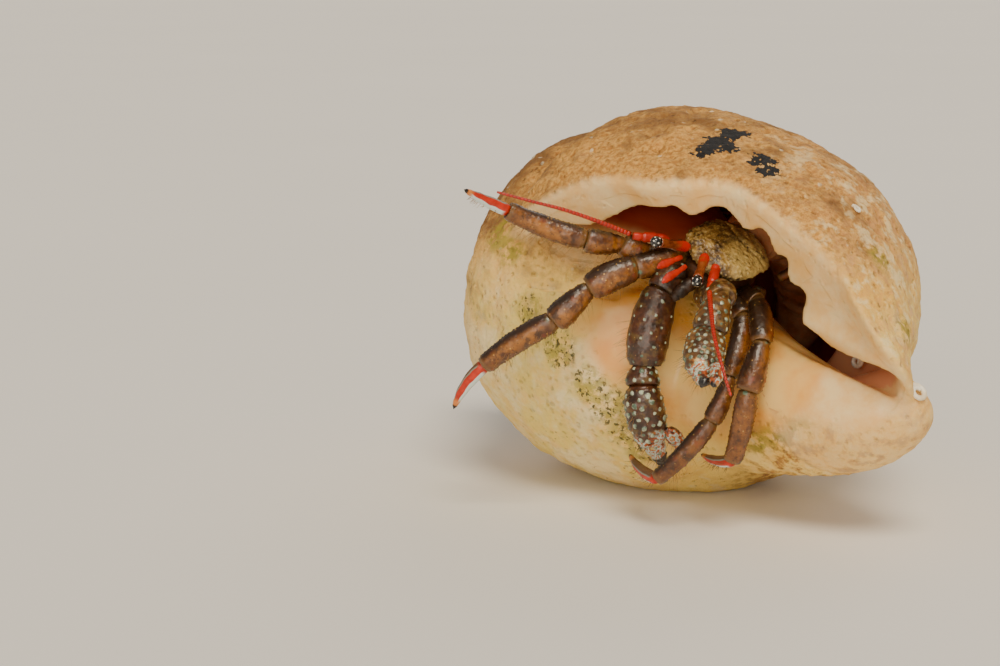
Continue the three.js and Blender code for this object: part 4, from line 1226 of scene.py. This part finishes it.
def feeler_finish():
    """Bright red with fine darker rings."""
    f = Finish("red feeler", IOR=1.5, Subsurface_Weight=0.1, Subsurface_Scale=0.0003)
    ring = f.read("ring")
    red = bpy.context.scene.hermit_crab.feeler
    deep = deeper(red, 0.7)
    colour = f.blend(deep, red, f.cloud(0.0005).between(0.3, 0.7))
    colour = f.blend(colour, (0.13, 0.010, 0.003), ring * 0.75)
    grain = f.cloud(0.0001, 2)
    return f.feed(Base_Color=colour, Roughness=0.24 + grain * 0.2, Normal=f.bump(grain, 0.3, 0.00003))


def stalk_finish():
    """Red brown, bright red towards its foot."""
    f = Finish("eyestalk", IOR=1.5, Subsurface_Weight=0.15, Subsurface_Scale=0.0003)
    along = f.parts(f.read("lie", True))[2]
    cloud = f.cloud(0.0004, 3)
    colour = f.blend((0.13, 0.026, 0.006), (0.26, 0.065, 0.013), cloud.between(0.35, 0.65))
    colour = f.blend(colour, (0.52, 0.010, 0.002), (along + (cloud - 0.5) * 0.6).between(0.52, 0.14))
    colour = f.blend(colour, (0.26, 0.055, 0.012), along.between(0.92, 1.0) * 0.6)
    return f.feed(Base_Color=colour, Roughness=0.22 + cloud * 0.15, Normal=f.bump(cloud, 0.3, 0.00003))


def bristle_finish():
    """Golden brown, some darker."""
    f = Finish("bristle", IOR=1.5)
    light = bpy.context.scene.hermit_crab.bristle
    dark = deeper(light, 0.4, 0.3, 0.25)
    colour = f.blend(dark, light, f.cloud(0.0012, 2).between(0.38, 0.62))
    return f.feed(Base_Color=colour, Roughness=0.32 + f.cloud(0.0008) * 0.15)


# ---------- building the crab ----------
def all_over(way, along):
    """Bumps all over a piece but for its ends."""
    return np.where((along > 0.03) & (along < 0.96), 1.0, 0.0)


def both_edges(way, along):
    """Small spines along a leg piece's two edges."""
    return np.where((np.abs(np.cos(way)) > 0.93) & (along > 0.06) & (along < 0.96), 0.8, 0.03)


def root_half(way, along):
    return np.where((along > 0.02) & (along < 0.72), 1.0, 0.0)


# Bumps of the kinds of piece: least gap, radius and height in millimetres, and where.
CLAW_BUMPS = {
    "base": (0.70, 0.11, 0.035, all_over), "merus": (0.66, 0.11, 0.035, all_over),
    "carpus": (0.44, 0.15, 0.06, all_over), "palm": (0.42, 0.17, 0.075, all_over),
    "finger": (0.28, 0.11, 0.045, root_half)}
LEG_BUMPS = (0.21, 0.07, 0.045, both_edges)


def pieces_of(kind):
    """Names of the jointed pieces of the limbs whose name starts with a kind."""
    names = [f"{limb}_{piece}" for limb, (kinds, _, _) in LEGS.items() for piece in kinds]
    return [name for name in names + list(FINGERS) if name.startswith(kind)]


def make_legs():
    leg, tip = leg_finish(), tip_finish()
    for name in pieces_of("leg"):
        rings, shares = limb_rings(name)
        if name.endswith("dactyl"):
            settle(crust(name + "_crust", rings, shares, 0.006), tip, [name])
        else:
            settle(crust(name + "_crust", rings, shares, 0.025, 0.5, LEG_BUMPS), leg, [name])


def make_claws():
    look = bpy.context.scene.hermit_crab
    right = claw_finish("right claw", look.right_dark, look.right_light, look.right_gold)
    left = claw_finish("left claw", look.left_dark, look.left_light, look.left_gold)
    for name in pieces_of("claw"):
        rings, shares = limb_rings(name)
        kind = name.rsplit("_", 1)[1]
        bumps = (0.32, 0.14, 0.065, all_over) if name == "claw_left_palm" else CLAW_BUMPS[kind]
        obj = crust(name + "_crust", rings, shares, 0.03, 0.5, bumps)
        along = along_of(obj.data)
        tip = 0.07 if name == "claw_right_palm" else -0.025
        keep(obj.data, "finger", {"palm": along + tip, "finger": 0.62 + 0.33 * along}.get(kind, along * 0))
        settle(obj, left if "left" in name else right, [name])


SMALL_SIDES = 24  # points round a small limb


def make_small_limbs():
    leg = leg_finish()
    # Painted shade: the mouthparts are near black to match the shade they sit in.
    mouth = crust_finish("mouthparts", (0.012, 0.006, 0.003), (0.055, 0.022, 0.008))
    count = 40
    for name, path in ON_TRUNK.items():
        halves = SMALL_HALF["m" if name.startswith("mouth") else name[-1]]
        s = np.linspace(0, len(path) - 1, count)
        line = curve(np.array([at(*p) for p in path]), s)
        half = curve(np.array(halves)[:, None], s)[:, 0]
        joints = np.abs(np.cos(np.linspace(0, 3 * math.pi, count)))
        beads = 1 - 0.14 * joints[:, None] ** 8 * np.ones(SMALL_SIDES)
        rings = tube(line, half, half * FLATNESS, SMALL_SIDES, wobble=beads)
        obj = crust(name + "_crust", rings, np.linspace(0, 1, count), 0.02, 0.3)
        if name.startswith("leg"):
            settle(obj, leg, [name])
        else:
            settle(obj, mouth, [name])


STALK = ((0, 0.22), (0.10, 0.31), (0.26, 0.30), (0.55, 0.235), (0.84, 0.27), (1, 0.31))
ANTENNULE = (
    (0, 0.12), (0.15, 0.15), (0.30, 0.14), (0.48, 0.20), (0.64, 0.25), (0.80, 0.19), (0.93, 0.09), (1, 0.03))
ANTENNA_BASE = (
    (0, 0.24), (0.2, 0.33), (0.34, 0.26), (0.4, 0.3), (0.62, 0.29), (0.7, 0.22), (0.76, 0.25), (1, 0.2))


ANTENNA_HALVES = (0.155, 0.075)  # half thickness at the root and at the tip
RING_GAP, RING_DEPTH = 0.22, 0.18  # length of one ring of a feeler, and how far its joint is pinched
ANTENNA_SIDES, ANTENNA_RINGS, FEELER_SIDES = 14, 280, 24


def make_eyes():
    look = bpy.context.scene.hermit_crab
    stalk, eye = stalk_finish(), eye_finish()
    for side, (root, middle) in EYES.items():
        root, middle = Vector(root), Vector(middle)
        way = (middle - root).normalized()
        long = (middle - root).length
        s = np.linspace(0, 1, 36)
        half = level(STALK, s)
        line = np.array([root + way * (-0.1 + (long - 0.02) * k) for k in s])
        obj = crust(f"eyestalk_{side}_crust", tube(line, half, half, 28), s, 0.01, 0.3)
        settle(obj, stalk, [f"eyestalk_{side}"])
        turn = way.to_track_quat("Z", "Y").to_matrix().to_4x4()
        size = Matrix.Diagonal((EYE_RADIUS, EYE_RADIUS, EYE_DEPTH, 1))
        place = Matrix.Translation(root + way * (long + 0.10)) @ turn @ size
        bm = bmesh.new()
        bmesh.ops.create_icosphere(bm, subdivisions=6, radius=1, matrix=place)
        obj = model(bm, f"eye_{side}_lens")
        back = np.array(place.inverted())
        ball = unit((points_of(obj.data) / MM - np.array(SHIFT)) @ back[:3, :3].T + back[:3, 3])
        k = np.arange(look.eye_dots)
        z = 1 - 2 * (k + 0.5) / look.eye_dots
        angle = k * math.pi * (3 - math.sqrt(5)) + 0.4
        spots = np.stack([np.sqrt(1 - z * z) * np.cos(angle), np.sqrt(1 - z * z) * np.sin(angle), z], -1)
        gap = np.arccos(np.clip(ball @ spots.T, -1, 1)).min(axis=1)
        keep(obj.data, "dot", smooth(look.eye_dot * 1.25, look.eye_dot * 0.75, gap))
        settle(obj, eye, [f"eye_{side}"])


def feeler(name, line, wide, deep, count, ring, material, shares):
    obj = crust(name + "_crust", tube(line, wide, deep, count), shares, 0.008, 0.3)
    keep(obj.data, "ring", np.interp(along_of(obj.data), shares, ring))
    settle(obj, material, [name])


def make_feelers():
    red = feeler_finish()
    count = 60
    shares = np.linspace(0, 1, count)
    for table, outline, flat in ((ANTENNULES, ANTENNULE, 0.4), (ANTENNA_BASES, ANTENNA_BASE, 0.9)):
        joints = np.abs(np.cos(math.pi * 3 * shares)) ** 30
        for name, path in table.items():
            half = level(outline, shares)
            line = curve(np.array(path), shares * (len(path) - 1))
            feeler(name, line, half, half * flat, FEELER_SIDES, joints * 0.3, red, shares)
    count = ANTENNA_RINGS
    shares = np.linspace(0, 1, count)
    for name, path in ANTENNAE.items():
        line = curve(np.array(path), shares * (len(path) - 1))
        run = np.concatenate([[0], np.cumsum(np.linalg.norm(np.diff(line, axis=0), axis=1))])
        joint = np.abs(np.cos(math.pi * run / RING_GAP)) ** 6
        half = np.linspace(*ANTENNA_HALVES, count) * (1 - RING_DEPTH * joint)
        line[0] += (line[0] - line[1]) * 3
        feeler(name, line, half, half, ANTENNA_SIDES, joint, red, shares)


def trunk_rings(table, count, sides, groove):
    """Rings of the trunk from its rows of place, half width, top and bottom."""
    s = np.linspace(0, len(table) - 1, count)
    rings = []
    for a, half, top, bottom in curve(np.array(table), s):
        middle = at(a, (top + bottom) / 2, 0)
        height = max(0.05, (top - bottom) / 2)
        ring = []
        for w in ways(sides):
            p = middle + BODY_RIGHT * (half * math.cos(w)) + BODY_UP * (height * math.sin(w))
            if groove and math.sin(w) > 0:
                b = half * math.cos(w)
                cut = math.exp(-(((a + 0.75 + 0.16 * b * b) / 0.13) ** 2)) * 0.16
                cut += math.exp(-((b / 0.10) ** 2)) * 0.05 * (a < 0.9)
                p -= BODY_UP * (cut * math.sin(w))
            ring.append(p)
        rings.append(ring)
    return rings


def upper_side(way, along):
    return np.where(np.sin(way) > 0, 0.9, 0.2)


def make_trunk():
    bumps = (0.24, 0.10, 0.05, upper_side)
    obj = crust("shield_crust", trunk_rings(SHIELD, 120, 120, True), None, 0.09, 0.7, bumps)
    settle(obj, shield_finish(), ["carapace_shield"])
    obj = crust("thorax_crust", trunk_rings(THORAX, 60, 64, False), None, 0.05, 0.8)
    body = crust_finish("body crust", (0.022, 0.008, 0.003), (0.12, 0.045, 0.014))
    settle(obj, body, ["thorax"])


def inside(turn, r):
    """Points within the hollow at turns before the lip and distances from the axis."""
    size = GROWTH**turn
    angle = -2 * math.pi * turn
    place = [r * np.cos(angle) * size, r * np.sin(angle) * size, TAIL_HEIGHT * size]
    return out_of_shell(np.stack(place, -1))


TAIL_SIDES, TAIL_RINGS = 48, 90


def make_tail():
    skin = skin_finish()
    count = TAIL_RINGS
    way = ways(TAIL_SIDES)
    for name, table, nodes in (
        ("abdomen_skin", TAIL, ["carapace_rear", "abdomen_front", "abdomen_middle", "abdomen_rear"]),
        ("tail_plates", TAIL_FAN, ["tail_fan"]),
    ):
        s = np.linspace(0, len(table) - 1, count)
        t, r, half, depth = curve(np.array(table), s).T
        line = inside(t, r)
        heading = np.gradient(line, axis=0)
        wide = unit(np.cross(heading, inside(t, r + 0.1) - line))
        deep = unit(np.cross(wide, heading))
        fold = 1 + 0.02 * np.sin(s * 9)
        w = (half * fold)[:, None, None] * np.cos(way)[None, :, None] * wide[:, None]
        d = (depth * fold)[:, None, None] * np.sin(way)[None, :, None] * deep[:, None]
        settle(crust(name, line[:, None] + w + d, None, 0.06, 1.0), skin, nodes)


# ---------- bristles ----------
HAIR_SIDES = 3
HAIR_RINGS = 5
PATCH = 0.003  # size of a bristle's patch on the map of the skin
TRAILING = Vector((-0.42, 0, -0.9)).normalized()  # the side of the limbs with most bristles
# Where bristles grow: piece ending, how many per millimetre of length, length, thickness and lean,
# and how far they keep to the trailing side, from -1 for all round to 1.
BRISTLED = {
    "dactyl": (34, 0.40, 0.015, 0.35, 0.45), "propodus": (26, 0.85, 0.009, 0.35, 0.30),
    "carpus": (20, 0.80, 0.009, 0.35, 0.20), "merus": (22, 0.85, 0.009, 0.35, 0.15),
    "palm": (40, 0.80, 0.010, 0.45, 0.05), "finger": (30, 0.35, 0.010, 0.6, -0.2)}


def bristles(name, pieces, seed):
    """Fine tapered bristles on the named pieces, joined into one mesh."""
    rng = np.random.default_rng(seed)
    factor = bpy.context.scene.hermit_crab.bristle_length
    every, maps = [], []
    columns = math.ceil(math.sqrt(len(pieces)))
    for cell, piece in enumerate(pieces):
        rings, shares = limb_rings(piece)
        rings, shares = np.asarray(rings, float), np.asarray(shares, float)
        per_mm, long, thick, lean, least = BRISTLED[piece.rsplit("_", 1)[1]]
        whole = np.flatnonzero((shares > 0.04) & (shares < 0.97))
        whole = whole[: len(whole) - 4] if len(whole) > 8 else whole
        sides = rings.shape[1]
        middle = rings.mean(axis=1)
        run = np.linalg.norm(middle[whole[-1]] - middle[whole[0]])
        count = int(run * per_mm)
        place = rng.choice(whole[1:-1], count)
        column = rng.integers(0, sides, count)
        root = rings[place, column]
        out = unit(root - middle[place])
        kept = out @ np.array(TRAILING) > least
        place, column, root, out = place[kept], column[kept], root[kept], out[kept]
        ahead = unit(middle[np.minimum(place + 1, len(middle) - 1)] - middle[place - 1])
        way = unit(out + ahead * lean + rng.normal(0, 0.16, (len(root), 3)))
        length = long * factor * rng.uniform(0.5, 1.2, len(root))
        every.append((root - out * 0.02, way, ahead, length, np.full(len(root), thick)))
        u = (cell % columns + 0.05 + 0.9 * np.clip(shares[place], 0, 1)) / columns
        v = (cell // columns + 0.05 + 0.9 * column / sides) / columns
        maps.append(np.stack([u, v], -1))
    root, way, ahead, long, thick = (np.concatenate(c) for c in zip(*every))
    spot = np.concatenate(maps)
    count = len(root)
    side = unit(np.cross(way, ahead))
    other = np.cross(side, way)
    points = np.empty((count, HAIR_RINGS, HAIR_SIDES, 3))
    for k in range(HAIR_RINGS):
        share = k / (HAIR_RINGS - 1)
        half = (thick * (1 - share) ** 0.8 + 0.002)[:, None]
        centre = root + way * (long * share)[:, None] + ahead * (long * 0.18 * share**2)[:, None]
        for j in range(HAIR_SIDES):
            a = 2 * math.pi * j / HAIR_SIDES
            points[:, k, j] = centre + side * (half * math.cos(a)) + other * (half * math.sin(a))
    index = np.arange(count * HAIR_RINGS * HAIR_SIDES).reshape(count, HAIR_RINGS, HAIR_SIDES)
    after = np.roll(index, -1, axis=2)
    walls = np.stack([index[:, :-1], after[:, :-1], after[:, 1:], index[:, 1:]], -1).reshape(-1, 4)
    lids = np.concatenate([index[:, 0, ::-1], index[:, -1]])
    mesh = bpy.data.meshes.new(name)
    mesh.from_pydata(placed(points.reshape(-1, 3)), [], walls.tolist() + lids.tolist())
    patch = np.zeros((count, HAIR_RINGS, HAIR_SIDES, 2))
    patch[..., 0] = np.linspace(0, PATCH, HAIR_RINGS)[None, :, None]
    patch[..., 1] = (np.arange(HAIR_SIDES) * PATCH / HAIR_SIDES)[None, None, :]
    patch = (patch + spot[:, None, None, :]).reshape(-1, 2)
    loops = np.empty(len(mesh.loops), np.int32)
    mesh.loops.foreach_get("vertex_index", loops)
    mesh.uv_layers.new(name="OFBake").data.foreach_set("uv", patch[loops].astype(np.float32).ravel())
    mesh.shade_smooth()
    return settle(linked(name, mesh), bristle_finish(), [])


def make_bristles():
    grown = [name for name in pieces_of("leg") if not name.endswith("base")]
    bristles("leg_bristles", grown, 11)
    grown = [name for name in pieces_of("claw") if not name.endswith("base")]
    bristles("claw_bristles", grown, 12)


# ---------- the add-on ----------
class HERMIT_OT_stage(bpy.types.Operator):
    """Lays the floor, sets the lights and places the camera"""

    bl_idname = "hermit.stage"
    bl_label = "Stage"

    def execute(self, context):
        stage()
        return {"FINISHED"}


class HERMIT_OT_shell(bpy.types.Operator):
    """Makes the worn whelk shell with its hollow, lip and canal"""

    bl_idname = "hermit.shell"
    bl_label = "Shell"

    def execute(self, context):
        settle(linked("shell_body", shell_mesh()), old_shell(), ["shell"])
        return {"FINISHED"}


class HERMIT_OT_worm_tubes(bpy.types.Operator):
    """Coils the small limy worm tubes onto the shell"""

    bl_idname = "hermit.worm_tubes"
    bl_label = "Worm tubes"

    def execute(self, context):
        worm_tubes()
        return {"FINISHED"}


class HERMIT_OT_legs(bpy.types.Operator):
    """Makes the four walking legs, each of five jointed pieces"""

    bl_idname = "hermit.legs"
    bl_label = "Walking legs"

    def execute(self, context):
        make_legs()
        return {"FINISHED"}


class HERMIT_OT_claws(bpy.types.Operator):
    """Makes the two claw limbs with their studs and fingers"""

    bl_idname = "hermit.claws"
    bl_label = "Claws"

    def execute(self, context):
        make_claws()
        return {"FINISHED"}


class HERMIT_OT_small_limbs(bpy.types.Operator):
    """Makes the four small back legs and the mouthparts"""

    bl_idname = "hermit.small_limbs"
    bl_label = "Small limbs"

    def execute(self, context):
        make_small_limbs()
        return {"FINISHED"}


class HERMIT_OT_eyes(bpy.types.Operator):
    """Makes the eyestalks and the dotted eyes"""

    bl_idname = "hermit.eyes"
    bl_label = "Eyes"

    def execute(self, context):
        make_eyes()
        return {"FINISHED"}


class HERMIT_OT_feelers(bpy.types.Operator):
    """Makes the antennae, their bases and the antennules"""

    bl_idname = "hermit.feelers"
    bl_label = "Feelers"

    def execute(self, context):
        make_feelers()
        return {"FINISHED"}


class HERMIT_OT_trunk(bpy.types.Operator):
    """Makes the shield and the thorax below it"""

    bl_idname = "hermit.trunk"
    bl_label = "Trunk"

    def execute(self, context):
        make_trunk()
        return {"FINISHED"}


class HERMIT_OT_tail(bpy.types.Operator):
    """Makes the soft belly, as one skin, and the tail fan inside the shell"""

    bl_idname = "hermit.tail"
    bl_label = "Belly and tail fan"

    def execute(self, context):
        make_tail()
        return {"FINISHED"}


class HERMIT_OT_bristles(bpy.types.Operator):
    """Grows the fine bristles of the legs and claws"""

    bl_idname = "hermit.bristles"
    bl_label = "Bristles"

    def execute(self, context):
        make_bristles()
        return {"FINISHED"}


class HERMIT_PT_panel(bpy.types.Panel):
    """Sizes, colours and pieces of the hermit crab"""

    bl_idname = "HERMIT_PT_panel"
    bl_label = "Hermit crab"
    bl_space_type = "VIEW_3D"
    bl_region_type = "UI"
    bl_category = "Hermit crab"

    def draw(self, context):
        for piece in PIECES:
            self.layout.operator(piece.bl_idname)
        for group in ("hermit_shell", "hermit_crab", "hermit_stage"):
            look = getattr(context.scene, group)
            box = self.layout.box()
            box.label(text=group.replace("_", " ").capitalize())
            for name in look.bl_rna.properties.keys():
                if name not in ("rna_type", "name"):
                    box.prop(look, name)


PIECES = (
    HERMIT_OT_stage, HERMIT_OT_shell, HERMIT_OT_worm_tubes, HERMIT_OT_legs, HERMIT_OT_claws,
    HERMIT_OT_small_limbs, HERMIT_OT_eyes, HERMIT_OT_feelers, HERMIT_OT_trunk, HERMIT_OT_tail,
    HERMIT_OT_bristles)
GROUPS = {"hermit_shell": HermitShell, "hermit_crab": HermitCrab, "hermit_stage": HermitStage}


def register():
    for made in (*GROUPS.values(), *PIECES, HERMIT_PT_panel):
        bpy.utils.register_class(made)
    for name, group in GROUPS.items():
        setattr(bpy.types.Scene, name, bpy.props.PointerProperty(type=group))


def unregister():
    for name in GROUPS:
        delattr(bpy.types.Scene, name)
    for made in (HERMIT_PT_panel, *reversed(PIECES), *reversed(tuple(GROUPS.values()))):
        bpy.utils.unregister_class(made)


def main():
    register()
    bpy.ops.hermit.stage()
    bpy.ops.hermit.shell()
    bpy.ops.hermit.worm_tubes()
    bpy.ops.hermit.legs()
    bpy.ops.hermit.claws()
    bpy.ops.hermit.small_limbs()
    bpy.ops.hermit.eyes()
    bpy.ops.hermit.feelers()
    bpy.ops.hermit.trunk()
    bpy.ops.hermit.tail()
    bpy.ops.hermit.bristles()


if __name__ == "__main__":
    main()
